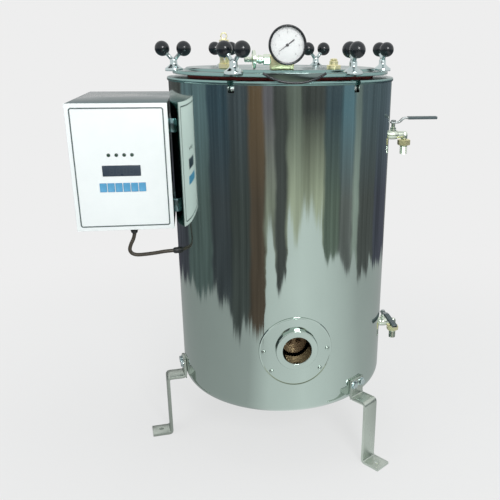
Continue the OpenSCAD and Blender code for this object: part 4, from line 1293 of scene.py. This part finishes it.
@dataclass
class Lid:
    """The lid's plate, gasket and handle. Sizes in millimetres."""

    under_z: float = 779.0
    dish_z: float = 784.0
    ledge_z: float = 785.0
    crown_z: float = 790.0
    radius: float = 211.0
    crown_r: float = 189.0
    spot_z: float = 782.0
    foot_r: float = 18.0
    gasket: Flat = (175.0, 183.0)
    gasket_gap: float = 0.2
    rim_z: float = 773.0
    handle_x: float = -6.0
    handle_w: float = 110.0
    handle_drop: float = 17.0
    handle_z: float = 787.0
    handle_y: float = -228.0

    def build_plate(self, vessel: Vessel) -> None:
        """The lid's plate with its raised crown, six slots and the flats for the nuts.

        Args:
            vessel: The vessel, whose slots the lid's follow.
        """
        r, c, crown, ledge, under = self.radius, self.crown_r, self.crown_z, self.ledge_z, self.under_z
        g0, g1 = self.gasket
        top = [(x, crown) for x in (0, 60, 120, 160, c - 6)]
        top += [(c - 4.2, crown - 0.5), (c - 2.4, crown - 2), (c - 1.2, crown - 3.6), (c + 0.6, ledge + 0.3)]
        top += [(c + 2.2, ledge), (r - 1.8, ledge), (r - 0.6, ledge - 0.5), (r, ledge - 1.8), (r, under + 0.5)]
        below = [(r - 0.5, under), (g1, under), (g1, under + 2), (g0, under + 2), (g0, under), (170, under)]
        outline = top + below + [(165, self.dish_z), (0, self.dish_z)]
        plate = Bench.turn("lid_disc", outline, Vector(), steps=192)
        flat = Bench.rod(self.foot_r, 10, mm(vessel.bolt_r, 0, self.spot_z), steps=64)
        tools = vessel.slots(under - 1, ledge + 1) + [Bench.repeat(flat, "flats")]
        fit(Bench.carve(plate, *tools), LID_STEEL, "lid_plate", body="lid")

    def build_gasket(self) -> None:
        """The gasket, bulged a little where it is pressed."""
        g0, g1 = self.gasket[0] + self.gasket_gap, self.gasket[1] - self.gasket_gap
        side = [(g1, 8), (g1, 6), (g1 + 0.5, 4.4), (g1 + 0.7, 3), (g1 + 0.5, 1.4), (g1 - 0.3, 0)]
        inner = [(g0 + 0.3, 0), (g0 - 0.5, 1.4), (g0 - 0.7, 3), (g0 - 0.5, 4.4), (g0, 6), (g0, 8)]
        gasket = Bench.turn("gasket_ring", closed(side + inner), mm(0, 0, self.rim_z), steps=160)
        fit(gasket, GASKET_RUBBER, "lid_gasket", body="lid")

    def build_handle(self) -> None:
        """The half-moon handle: a plate, its black edging and the bracket behind it."""
        x, y, w, drop = self.handle_x, self.handle_y, self.handle_w / 2, self.handle_drop
        big = (w * w + drop * drop) / (2 * drop)
        half = math.degrees(math.asin((w - 2) / big))
        bow = arc((x, self.handle_z + big - drop), big, -90 - half, -90 + half, 40)
        corners = [(x + w - 2, self.handle_z), (x + 2 - w, self.handle_z)]
        Bench.slab([mm(u, y + 0.4, v) for u, v in bow + corners], 2.6)
        bpy.ops.object.mode_set(mode="OBJECT")
        Bench.round_edges(bpy.context.object, 0.5)
        moon = Bench.settle("moon")
        low, high = mm(x - 26, y + 1.5, self.under_z + 1), mm(x + 26, -207, self.under_z + 4)
        bracket = Bench.block("bracket", low, high)
        bracket = Bench.cut(bracket, Bench.rod(self.radius, 20, mm(0, 0, 775), steps=160))
        # The plate's steel is darkened to paint the dark reflection that the handle shows.
        fit(Bench.weld("moon_handle", moon, bracket), HANDLE_STEEL, "lid_handle", body="lid")
        edging = Bench.tube("handle_edging", [mm(u, y + 1.6, v + 0.9) for u, v in bow], 2.2)
        fit(edging, BLACK_PLASTIC, body="lid")

    def build(self, vessel: Vessel) -> None:
        """Builds the lid.

        Args:
            vessel: The vessel under it.
        """
        self.build_plate(vessel)
        self.build_gasket()
        self.build_handle()


@dataclass
class Gauge:
    """The pressure gauge and the brass block under it. Sizes in millimetres."""

    x: float = -9.5
    z: float = 830.5
    back_y: float = -149.0
    face_y: float = -171.0
    radius: float = 32.98
    bezel: float = 4.0
    dial_r: float = 29.0
    dial_depth: float = 8.0
    dial_t: float = 1.5
    tick_r: float = 26.6
    figure_r: float = 20.4
    figure_h: float = 4.86
    needle_angle: float = 216.0
    needle_tip: float = 18.5
    needle_tail: float = 15.0
    sweep: Flat = (225.0, -45.0)
    top_figure: int = 6
    block_x: Flat = (-37.0, 5.0)
    block_y: Flat = (-146.5, -129.5)
    block_axis: float = 806.5
    block_top: float = 815.0
    plug_x: float = -28.0
    crown_z: float = 790.0

    def axis(self, y: float) -> Vector:
        """A point on the gauge's axis."""
        return mm(self.x, y, self.z)

    def dialled(self, angle: float) -> Matrix:
        """Places a piece drawn along X at an angle on the dial, in degrees."""
        return Matrix.Translation(self.axis(0)) @ Matrix.Rotation(-math.radians(angle), 4, "Y")

    def build_case(self) -> None:
        """The case: drum, rolled bezel and back boss."""
        r, deep = self.radius, self.back_y - self.face_y
        lip = r - self.bezel
        outline = [(0, 0), (r - 5, 0), (r - 2, 1), (r - 1.2, 3), (r - 1.2, deep - 8), (r - 0.3, deep - 7.2)]
        outline += [(r, deep - 6), (r, deep - 2)] + arc((r - 2, deep - 2), 2, 0, 90, 4)
        outline += [(lip + 0.6, deep - 0.6), (lip, deep - 1.6), (lip, deep - 8), (0, deep - 8)]
        case = Bench.turn("gauge_drum", outline, self.axis(self.back_y), -Y_AXIS, 96)
        outline = [(0, 0), (5.5, 0), (6.2, 0.8), (6.2, 2.4), (5, 3), (5, 9), (0, 9)]
        boss = Bench.turn("boss", outline, mm(self.x, self.block_y[0] + 0.6, self.block_axis), -Y_AXIS, 32)
        fit(Bench.join("gauge_drum", case, boss), BLACK_PLASTIC, "gauge_case", body="lid")

    def build_dial(self) -> None:
        """The white dial with its ticks and plain numbers."""
        face, r, t = self.face_y + self.dial_depth, self.dial_r, self.dial_t
        outline = closed([(1.1, 0), (r, 0), (r, t), (20, t), (1.1, t)])
        disc = Bench.turn("dial_face", outline, self.axis(face), -Y_AXIS, 96)
        fit(disc, DIAL_WHITE, "gauge_dial", body="lid")
        marks, y, count = [], face - t, self.top_figure * 10
        for i in range(count + 1):
            angle = self.sweep[0] + (self.sweep[1] - self.sweep[0]) * i / count
            start, wide = (23.4, 0.4) if i % 10 == 0 else (25.4 if i % 5 else 24.6, 0.2)
            low, high = mm(start, y - 0.12, -wide / 2), mm(self.tick_r, y + 0.05, wide / 2)
            mark = Bench.block("mark", low, high, 0.03, 1)
            mark.data.transform(self.dialled(angle))
            marks.append(mark)
            if i % 10 == 0:
                place = self.dialled(angle) @ mm(self.figure_r, 0, 0)
                marks.append(self.figure(str(i // 10), place + mm(0, y - 0.1, 0)))
        fit(Bench.join("dial_marks", *marks), MARK_GREY, body="lid")

    def figure(self, words: str, middle: Vector) -> Piece:
        """A number on the dial.

        Args:
            words: The number.
            middle: Its middle, in metres.

        Returns:
            The number as a mesh.
        """
        Bench.hold()
        bpy.ops.object.text_add(location=middle, rotation=(math.pi / 2, 0, 0))
        text = bpy.context.object
        text.data.body, text.data.size = words, self.figure_h * MM
        text.data.align_x, text.data.align_y = "CENTER", "CENTER"
        text.data.extrude, text.data.resolution_u = 0.06 * MM, 3
        bpy.ops.object.convert(target="MESH")
        return Bench.settle(f"figure_{words}")

    def build_glass(self) -> None:
        """The glass, domed a little."""
        outline = [(0, 0), (self.dial_r, 0), (self.dial_r, 1.2), (26, 1.5), (20, 1.75), (10, 1.95), (0, 2)]
        glass = Bench.turn("dial_glass", outline, self.axis(self.face_y + 3), -Y_AXIS, 96)
        fit(glass, CLEAR_GLASS, "gauge_glass", body="lid")

    def build_needle(self) -> None:
        """The tapered pointer with its tail and hub."""
        y, tip, tail = self.face_y + self.dial_depth - 1.8, self.needle_tip, self.needle_tail
        half = [(tip - 3, 0.4), (0, 0.75), (1.5 - tail, 1.2), (-tail, 0.7)]
        outline = [(tip, 0.0)] + half + [(x, -z) for x, z in reversed(half)]
        Bench.slab([mm(x, y, z) for x, z in outline], -0.7)
        pointer = Bench.settle("pointer")
        pointer.data.transform(self.dialled(self.needle_angle))
        outline = [(0, -1.4), (1, -1.4), (1, 0), (2.6, 0), (2.6, 1.0), (1.9, 1.6), (0, 1.9)]
        hub = Bench.turn("hub", outline, self.axis(y), -Y_AXIS, 32)
        fit(Bench.join("gauge_pointer", pointer, hub), NEEDLE_BLACK, "gauge_needle", body="needle")

    def build_block(self) -> None:
        """The brass block with its stub, side ring and top plug."""
        (x0, x1), (y0, y1) = self.block_x, self.block_y
        y = (y0 + y1) / 2
        plug = [(0, -0.5), (5, -0.5), (5, 1.6), (4.2, 2.4), (0, 2.4)]
        side = ring(0, 7.8, -0.6, 2, (0.4, 0.6), (0.6, 0.6))
        parts = (
            Bench.block("block", mm(x0, y0, self.crown_z), mm(x1, y1, self.block_top), 1.6, 3),
            Bench.rod(6, 10.5, mm(self.x, y, self.crown_z - 10)),
            Bench.turn("side", side, mm(x0 - 0.8, y, self.block_axis), X_AXIS, 40),
            Bench.turn("plug", plug, mm(self.plug_x, y, self.block_top), **HEXAGON),
        )
        fit(Bench.join("gauge_manifold", *parts), BRASS, "gauge_block", body="lid")

    def build(self) -> None:
        """Builds the gauge and its block."""
        self.build_case()
        self.build_dial()
        self.build_glass()
        self.build_needle()
        self.build_block()


@dataclass
class LidValves:
    """Purge valve, safety valve and vent valve on the lid. Sizes in millimetres."""

    crown_z: float = 790.0
    purge: Point = (-37.0, -138.0, 806.5)
    bore: float = 3.05
    wheel_r: float = 16.0
    safety: Flat = (-115.0, -100.0)
    safety_h: float = 44.0
    stem_bore: float = 4.05
    eye_r: float = 5.2
    vent: Flat = (81.0, -125.0)
    vent_h: float = 14.0
    vent_flat: float = 11.8

    def build_purge(self) -> None:
        """The purge valve: hexagon body, neck, knurled wheel and hose nipple."""
        base, bore, r = mm(*self.purge), self.bore, self.wheel_r
        nut = closed(ring(bore, 9.45, 0, 12, (1.25, 0.9), (1.25, 1.0)))
        neck = [(bore, 12), (6.6, 12), (6.6, 15), (7.6, 15.6), (7.6, 20.4), (7, 21), (6, 21.4)]
        neck = closed(neck + [(6, 24), (bore, 24)])
        body = Bench.turn("nut", nut, base, -X_AXIS, **HEXAGON), Bench.turn("neck", neck, base, -X_AXIS, 40)
        fit(Bench.join("purge_body", *body), VALVE_CHROME, "purge_valve_body", body="lid")
        wheel = [(0, 24.8), (6, 24.8), (r - 2.4, 26.6), (r - 1, 25.6), (r, 26.4), (r, 30), (r - 1, 30.8)]
        wheel += [(r - 2.4, 29.8), (6, 31.4), (0, 31.4)]
        nipple = [(1.6, 31)]
        for x in (32.5, 36.7, 40.9):
            nipple += [(4.2, x), (5, x + 0.8), (4.2, x + 3.6)]
        nipple = closed(nipple + [(3.6, 45.6), (1.6, 45.6)])
        parts = (
            Bench.turn("wheel", wheel, base, -X_AXIS, 40, 20),
            Bench.rod(2.9, 4, base - mm(22, 0, 0), -X_AXIS, 24),
            Bench.turn("nipple", nipple, base, -X_AXIS, 32),
        )
        fit(Bench.join("purge_wheel_piece", *parts), VALVE_CHROME, "purge_valve_wheel", body="purge_wheel")

    def build_safety(self) -> None:
        """The safety valve: hexagon foot, slotted bonnet, sprung stem and pull ring."""
        base, h, bore = mm(*self.safety, self.crown_z), self.safety_h, self.stem_bore
        foot = Bench.turn("foot", ring(0, 10.97, 0, 9, (1.37, 0.9), (1.37, 1.0)), base, **HEXAGON)
        stub = Bench.rod(6, 10.5, base - mm(0, 0, 10))
        outline = [(bore, 9), (7.6, 9), (8.5, 9.8), (8.5, h - 11), (9, h - 10), (9, h - 1), (8.2, h), (bore, h)]
        bonnet = Bench.turn("bonnet", closed(outline), base, steps=48)
        slots = [
            Bench.block("slot", base + mm(-x, -y, 14), base + mm(x, y, 29), 0.5, 2)
            for x, y in ((20, 1.6), (1.6, 20))
        ]
        parts = foot, stub, Bench.carve(bonnet, *slots)
        fit(Bench.join("safety_body", *parts), BRASS, "safety_valve_body", body="lid")
        outline = [(0, h - 24), (4, h - 24), (4, h + 0.3), (7.6, h + 0.3), (8.5, h + 1.2), (8.5, h + 4.2)]
        outline += [(7.4, h + 5.2), (2, h + 5.8), (0, h + 5.8)]
        stem = Bench.turn("stem", outline, base, steps=40)
        circle = arc((0, h + 11), self.eye_r, 0, 351, 39)
        eye = Bench.tube("eye", [base + mm(x, 2.0, z) for x, z in circle], 1.1, looped=True)
        fit(Bench.join("safety_stem_piece", stem, eye), BRASS, "safety_valve_stem", body="safety_stem")

    def build_vent(self) -> None:
        """The vent valve: flanged foot with two flats, collar and a domed plunger cap."""
        base, h, bore, flat = mm(*self.vent, self.crown_z), self.vent_h, self.bore, self.vent_flat
        outline = [(bore, -10), (6, -10), (6, 0), (12.6, 0), (13.5, 0.9), (13.5, 6), (12.6, 7), (8.6, 7)]
        outline = closed(outline + [(8, 7.6), (8, h - 0.8), (7.4, h), (bore, h)])
        body = Bench.turn("vent_body", outline, base, steps=48)
        flats = [
            Bench.block("flat", base + mm(start, -20, -1), base + mm(end, 20, 8), 0.2, 1)
            for start, end in ((flat, 20), (-20, -flat))
        ]
        fit(Bench.carve(body, *flats), BRASS, "vent_valve_body", body="lid")
        outline = [(0, -6), (3, -6), (3, h + 0.3), (6, h + 0.3), (6.5, h + 0.8), (6.5, h + 2.8), (5.4, h + 3.8)]
        cap = Bench.turn("vent_cap", outline + [(3, h + 4.3), (0, h + 4.3)], base, steps=40)
        fit(cap, BRASS, "vent_valve_plunger", body="vent_plunger")

    def build(self) -> None:
        """Builds the three valves."""
        self.build_purge()
        self.build_safety()
        self.build_vent()


@dataclass
class Clamps:
    """Six swing bolts and their wing nuts with ball knobs. Sizes in millimetres."""

    bolt_r: float = 208.0
    pin_z: float = 759.0
    pin_bore: float = 3.05
    nut_z: float = 782.5
    bolt_top: float = 802.5
    thread_r: float = 5.0
    thread_start: float = 9.0
    thread_pitch: float = 1.5
    eye_r: float = 7.0
    eye_t: float = 10.0
    arm_z: float = 18.5
    arm_r: float = 3.5
    ball_out: float = 21.0
    ball_rise: float = 41.0
    ball_r: float = 14.0
    turns: tuple[float, ...] = (-86.0, -36.0, 24.0, -12.0, 72.0, -26.0)

    def bolt(self) -> Piece:
        """One swing bolt at the origin: open eye, shank and thread."""
        high, r, t, bore = self.bolt_top - self.pin_z, self.thread_r, self.eye_t, self.pin_bore
        eye = Bench.turn("eye", ring(0, self.eye_r, 0, t, (0.7, 0.7)), mm(0, -t / 2, 0), Y_AXIS, 40)
        thread, z = [(r, 0.0), (r, self.thread_start)], self.thread_start
        while z < high - 3:
            thread += [(r - 0.55, z + 0.6), (r, z + 1.4)]
            z += self.thread_pitch
        shank = Bench.turn("shank", [(0, 0)] + thread + [(r - 0.8, high), (0, high)], Vector(), Z_AXIS, 28, 60)
        slot = Bench.block("slot", mm(-bore, -t, -20), mm(bore, t, 0), 0.05, 1)
        bolt = Bench.join("bolt", eye, shank)
        return Bench.carve(bolt, Bench.rod(bore, 2 * t, mm(0, -t, 0), Y_AXIS), slot, smooth=30)

    def wings(self) -> list[tuple[Vector, float]]:
        """Where the two balls of a nut are from the start of its arms, as direction and distance."""
        reaches = [Vector((x, 0, self.ball_rise - self.arm_z)) for x in (self.ball_out, -self.ball_out)]
        return [(reach.normalized(), reach.length) for reach in reaches]

    def nut(self) -> Piece:
        """One wing nut at the origin: foot, cone, waist and two arms."""
        outline = [(5.3, 0), (16, 0), (17, 1), (17, 4.6), (16.6, 5.5), (15.6, 6.2), (11, 9.2), (8.2, 11.6)]
        outline += [(7.2, 13.4), (7, 15), (7, 20), (6.6, 22), (5.4, 23.8), (3, 25), (0, 25.3)]
        outline += [(0, 20.8), (5.3, 20.8)]
        parts = [Bench.turn("nut_body", closed(outline), Vector(), Z_AXIS, 64, 40)]
        for way, far in self.wings():
            arm = [(0, 0), (4.6, 0), (4.2, 4), (self.arm_r, 8), (3.3, far - 15), (4.4, far - 13.6)]
            arm += [(4.4, far - 12), (0, far - 11)]
            parts.append(Bench.turn("arm", arm, mm(0, 0, self.arm_z), way, 28, 40))
        return Bench.join("nut", *parts)

    def balls(self) -> Piece:
        """The two ball knobs of one nut at the origin, each with the flat where its arm enters."""
        r, parts = self.ball_r, []
        outline = [(0, 1 - r), (4.8, 1 - r)] + arc((0, 0), r, -66, 90, 22)[:-1] + [(0, r)]
        for way, far in self.wings():
            parts.append(Bench.turn("ball", outline, mm(0, 0, self.arm_z) + way * far * MM, way, 40, 40))
        return Bench.join("balls", *parts)

    def build(self) -> None:
        """Makes one clamp and copies it round the lid."""
        models = bolt, nut, balls = self.bolt(), self.nut(), self.balls()
        for i, (angle, turn) in enumerate(zip(SIXTHS, self.turns), 1):
            at_pin = about_z(angle) @ Matrix.Translation(mm(self.bolt_r, 0, self.pin_z))
            at_nut = about_z(angle) @ Matrix.Translation(mm(self.bolt_r, 0, self.nut_z)) @ about_z(turn)
            fit(Bench.copy(bolt, f"eye_bolt_{i}", at_pin), BOLT_STEEL, f"swing_bolt_{i}", body=f"bolt_{i}")
            fit(Bench.copy(nut, f"nut_arms_{i}", at_nut), CHROME, f"wing_nut_{i}", body=f"nut_{i}")
            fit(Bench.copy(balls, f"nut_knobs_{i}", at_nut), BLACK_PLASTIC, body=f"nut_{i}")
        for model in models:
            bpy.data.objects.remove(model)


@dataclass(frozen=True)
class Card:
    """A card or drape round the object that its gloss sees.

    Its start and end are degrees from the camera's direction. Its reach is where it starts, in metres.
    It has a colour low down and one high up.
    """

    name: str
    start: float
    end: float
    reach: float
    low: Colour
    high: Colour


@dataclass
class Studio:
    """Floor, world, lamps, reflected room and camera. Metres and degrees."""

    place: Point = (-0.1764, -1.3388, 0.8280)
    yaw: float = 8.968
    pitch: float = 20.159
    roll: float = 0.33
    lens: float = 46.53
    shift: Flat = (-0.0933, 0.0677)
    pale: float = 0.855
    room_r: float = 1.84
    room_h: float = 0.72
    band: Flat = (0.8, 2.6)
    upper: Flat = (2.02, 2.42)
    blur: float = 1.5
    cards: tuple[Card, ...] = (
        Card("back_drape", -180, -112, 1.15, (0.12, 0.12, 0.15), (0.15, 0.15, 0.15)),
        Card("grey_board", -112, -74, 1.15, (0.2, 0.25, 0.25), (0.25, 0.35, 0.4)),
        Card("dark_drape", -74, -50, 1.15, (0.12, 0.13, 0.15), (0.1, 0.15, 0.2)),
        Card("low_drape", -50, -30, 0.95, (0.14, 0.15, 0.15), (0.15, 0.17, 0.2)),
        Card("tan_board", -30, -15, 0.86, (0.2, 0.14, 0.11), (0.32, 0.2, 0.13)),
        Card("cream_strip", -15, -6, 1.9, (0.6, 0.6, 0.5), (0.35, 0.3, 0.35)),
        Card("dark_post", -6, 6, 1.4, (0.15, 0.15, 0.15), (0.15, 0.15, 0.15)),
        Card("cream_screen", 6, 20, 1.95, (0.9, 0.9, 0.7), (0.35, 0.37, 0.33)),
        Card("low_screen", 20, 42, 1.95, (0.85, 0.85, 0.65), (0.15, 0.15, 0.15)),
        Card("side_drape", 42, 60, 1.6, (0.3, 0.35, 0.3), (0.15, 0.2, 0.25)),
        Card("blue_board", 60, 76, 1.45, (0.3, 0.3, 0.3), (0.25, 0.4, 0.5)),
        Card("white_post", 76, 84, 1.6, (0.6, 0.65, 0.6), (0.35, 0.4, 0.4)),
        Card("slate_drape", 84, 112, 1.35, (0.2, 0.2, 0.2), (0.2, 0.25, 0.3)),
        Card("far_drape", 112, 150, 1.35, (0.15, 0.15, 0.2), (0.2, 0.25, 0.3)),
        Card("far_board", 150, 180, 1.1, (0.3, 0.3, 0.3), (0.35, 0.4, 0.4)),
    )
    floor_tone: tuple[Flat, ...] = (
        (-180, 0.4), (-90, 0.45), (-30, 0.55), (-12, 0.85), (20, 1.0), (45, 0.9), (85, 0.6), (180, 0.4)
    )

    def place_camera(self) -> None:
        """Puts the camera where the photograph was taken from."""
        yaw, pitch, roll = map(math.radians, (self.yaw, self.pitch, self.roll))
        ahead = Vector((math.sin(yaw) * math.cos(pitch), math.cos(yaw) * math.cos(pitch), -math.sin(pitch)))
        right = Vector((math.cos(yaw), -math.sin(yaw), 0))
        up = right.cross(ahead)
        across = right * math.cos(roll) + up * math.sin(roll)
        upward = up * math.cos(roll) - right * math.sin(roll)
        data = bpy.data.cameras.new("camera")
        data.lens, data.sensor_width, data.clip_end = self.lens, 36, 100
        data.shift_x, data.shift_y = self.shift
        camera = bpy.data.objects.new("camera", data)
        bpy.context.scene.collection.objects.link(camera)
        turned = Matrix((across, upward, -ahead)).transposed().to_4x4()
        camera.matrix_world = Matrix.Translation(Vector(self.place)) @ turned
        bpy.context.scene.camera = camera

    def pale_colour(self) -> tuple[float, ...]:
        """The pale colour of the ground."""
        return self.pale, self.pale, self.pale, 1

    @staticmethod
    def sees_pale(nodes: Nodes) -> Socket:
        """1 for rays of the camera, of gloss and of glass, which see the plain pale colour."""
        path = nodes.add("LightPath")
        total = path.outputs["Is Camera Ray"]
        for name in ("Is Glossy Ray", "Is Transmission Ray"):
            total = nodes.reckon("ADD", total, path.outputs[name], use_clamp=True)
        return total

    @staticmethod
    def surface(nodes: Nodes, share: Socket, first: bpy.types.Node, second: bpy.types.Node) -> bpy.types.Node:
        """A mix of two surfaces."""
        return nodes.add("MixShader", [share, first.outputs[0], second.outputs[0]])

    def build_world(self) -> None:
        """The world: even light, and the pale ground colour where it is seen."""
        world = bpy.data.worlds.new("studio")
        bpy.context.scene.world = world
        nodes = Nodes(world)
        seen = nodes.feed(nodes.tree.nodes["Background"], [self.pale_colour()])
        light = nodes.add("Background", [(0.95, 1.0, 1.0, 1), 0.55])
        mixed = self.surface(nodes, self.sees_pale(nodes), light, seen)
        nodes.feed(nodes.tree.nodes["World Output"], [mixed.outputs[0]])

    def surroundings(self, nodes: Nodes) -> bpy.types.Node:
        """The glow that the object's gloss sees of a room: a pale floor, then streaks of dark.

        Args:
            nodes: The nodes of the floor or the wall.

        Returns:
            The glow.
        """
        place = nodes.add("TexCoord").outputs["Object"]
        facing = math.atan2(self.place[1], self.place[0])
        mapping = nodes.add("Mapping", {"Vector": place, "Rotation": (0, 0, -facing)})
        turn = nodes.add("TexGradient", [mapping.outputs[0]], gradient_type="RADIAL").outputs["Fac"]
        x, y, z = nodes.add("SeparateXYZ", [place]).outputs
        squares = nodes.reckon("MULTIPLY", x, x), nodes.reckon("MULTIPLY", y, y)
        away = nodes.reckon("ADD", nodes.reckon("SQRT", nodes.reckon("ADD", *squares)), z)

        def streaks(across: float, along: float, low: float, high: float) -> Socket:
            """Streaks that follow a direction from the object."""
            sides = nodes.reckon("MULTIPLY", turn, across), nodes.reckon("MULTIPLY", away, along)
            flat = nodes.add("CombineXYZ", sides).outputs[0]
            return nodes.spread(nodes.noise(flat, 3.0), 0.3, 0.7, low, high)

        (near, far), blur = self.band, self.blur
        bent = nodes.reckon("ADD", turn, streaks(14, 5, -0.004, 0.004))
        ends = [(angle, card) for card in self.cards for angle in (card.start + blur, card.end - blur)]
        reaches = [(angle, ((card.reach - near) / (far - near),) * 3) for angle, card in ends]
        edge = nodes.reckon("MULTIPLY_ADD", nodes.ramp(bent, reaches), far - near, near)
        for across, depth in ((40, 0.16), (220, 0.05)):
            edge = nodes.reckon("ADD", edge, streaks(across, 0.4, -depth, depth))
        past = nodes.reckon("SUBTRACT", away, edge)
        dark = nodes.spread(past, -0.05, 0.07, 0.0, 1.0, interpolation_type="SMOOTHSTEP")
        low = nodes.ramp(bent, [(angle, card.low) for angle, card in ends])
        high = nodes.ramp(bent, [(angle, card.high) for angle, card in ends])
        wall = nodes.mix(nodes.spread(away, *self.upper, 0.0, 1.0), low, high)
        shade = nodes.reckon("MULTIPLY", streaks(90, 0.7, 0.5, 0.9), streaks(420, 0.5, 0.8, 1.2))
        wall = nodes.mix(1.0, wall, nodes.add("CombineColor", [shade] * 3).outputs[0], "MULTIPLY")
        tones = [(angle, (tone, tone * 1.03, tone * 1.03)) for angle, tone in self.floor_tone]
        return nodes.add("Emission", [nodes.mix(dark, nodes.ramp(turn, tones), wall), self.pale])

    @staticmethod
    def stage(name: str, material: bpy.types.Material, nodes: Nodes, look: bpy.types.Node) -> None:
        """Gives the new floor or wall its name and look.

        Args:
            name: Its name.
            material: Its material.
            nodes: The material's nodes.
            look: The node with its surface.
        """
        obj = bpy.context.object
        obj.name = name
        nodes.feed(nodes.tree.nodes["Material Output"], [look.outputs[0]])
        obj.data.materials.append(material)

    def build_floor(self) -> None:
        """The pale floor, which keeps a soft share of the shadow near the object."""
        Bench.hold()
        bpy.ops.mesh.primitive_plane_add(size=60)
        material = bpy.data.materials.new("floor_pale")
        nodes = Nodes(material)
        looks = {"Base Color": (0.82, 0.82, 0.82, 1), "Roughness": 0.9, "Specular IOR Level": 0.0}
        lit = nodes.feed(nodes.tree.nodes["Principled BSDF"], looks)
        place = nodes.add("TexCoord").outputs["Object"]
        away = nodes.add("VectorMath", [place], operation="LENGTH").outputs["Value"]
        share = nodes.spread(away, 0.3, 1.5, 0.74, 1.0, interpolation_type="SMOOTHSTEP")
        seen = nodes.reckon("MULTIPLY", self.sees_pale(nodes), share)
        lit = self.surface(nodes, seen, lit, nodes.add("Emission", [self.pale_colour()]))
        glossy = nodes.add("LightPath").outputs["Is Glossy Ray"]
        self.stage("floor", material, nodes, self.surface(nodes, glossy, lit, self.surroundings(nodes)))

    def build_room(self) -> None:
        """A low ring of wall round the object that only its gloss sees."""
        Bench.hold()
        middle = (0, 0, self.room_h / 2 + 0.002)
        bpy.ops.mesh.primitive_cylinder_add(
            vertices=96, radius=self.room_r, depth=self.room_h, end_fill_type="NOTHING", location=middle
        )
        bpy.ops.object.transform_apply(location=True, rotation=True, scale=True)
        room = bpy.context.object
        room.visible_camera = room.visible_diffuse = room.visible_transmission = room.visible_shadow = False
        material = bpy.data.materials.new("room_colours")
        nodes = Nodes(material)
        nodes.tree.nodes.remove(nodes.tree.nodes["Principled BSDF"])
        self.stage("room_walls", material, nodes, self.surroundings(nodes))

    def build_lamps(self) -> None:
        """A key light over the camera, a weaker one at the left and a soft one above."""
        for name, place, size, power in (
            ("key", (0.5, -2.8, 2.0), 0.9, 40.0),
            ("fill", (-2.4, -1.6, 1.8), 2.0, 14.0),
            ("top", (0.2, 0.6, 3.2), 2.4, 24.0),
        ):
            data = bpy.data.lights.new(name, "AREA")
            data.size, data.energy = size, power
            lamp = bpy.data.objects.new(name, data)
            bpy.context.scene.collection.objects.link(lamp)
            lamp.location = place
            lamp.visible_glossy = name == "key"
            lamp.rotation_euler = (Vector((0, 0, 0.45)) - Vector(place)).to_track_quat("-Z", "Y").to_euler()

    def build(self) -> None:
        """Builds the studio."""
        self.place_camera()
        self.build_world()
        self.build_floor()
        self.build_room()
        self.build_lamps()
        bpy.context.scene.view_settings.view_transform = "Standard"


def main() -> None:
    """Builds the stage and every sub-assembly round the frame."""
    logging.basicConfig(level=logging.INFO, format="%(name)s: %(message)s")
    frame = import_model()
    Studio().build()
    HeaterCable().build()
    vessel = Vessel()
    vessel.build()
    Legs().build()
    Port().build()
    for outlet in Outlet:
        LeverValve(outlet).build()
    ControlBox().build(frame)
    Lid().build(vessel)
    Gauge().build()
    LidValves().build()
    Clamps().build()
    keep(frame, HEATER_METAL, "heater_element")
    keep(frame, INNER_STEEL, "chamber_grid")
    keep(frame, VALVE_CHROME, "steam_ball", "drain_ball")


if __name__ == "__main__":
    main()
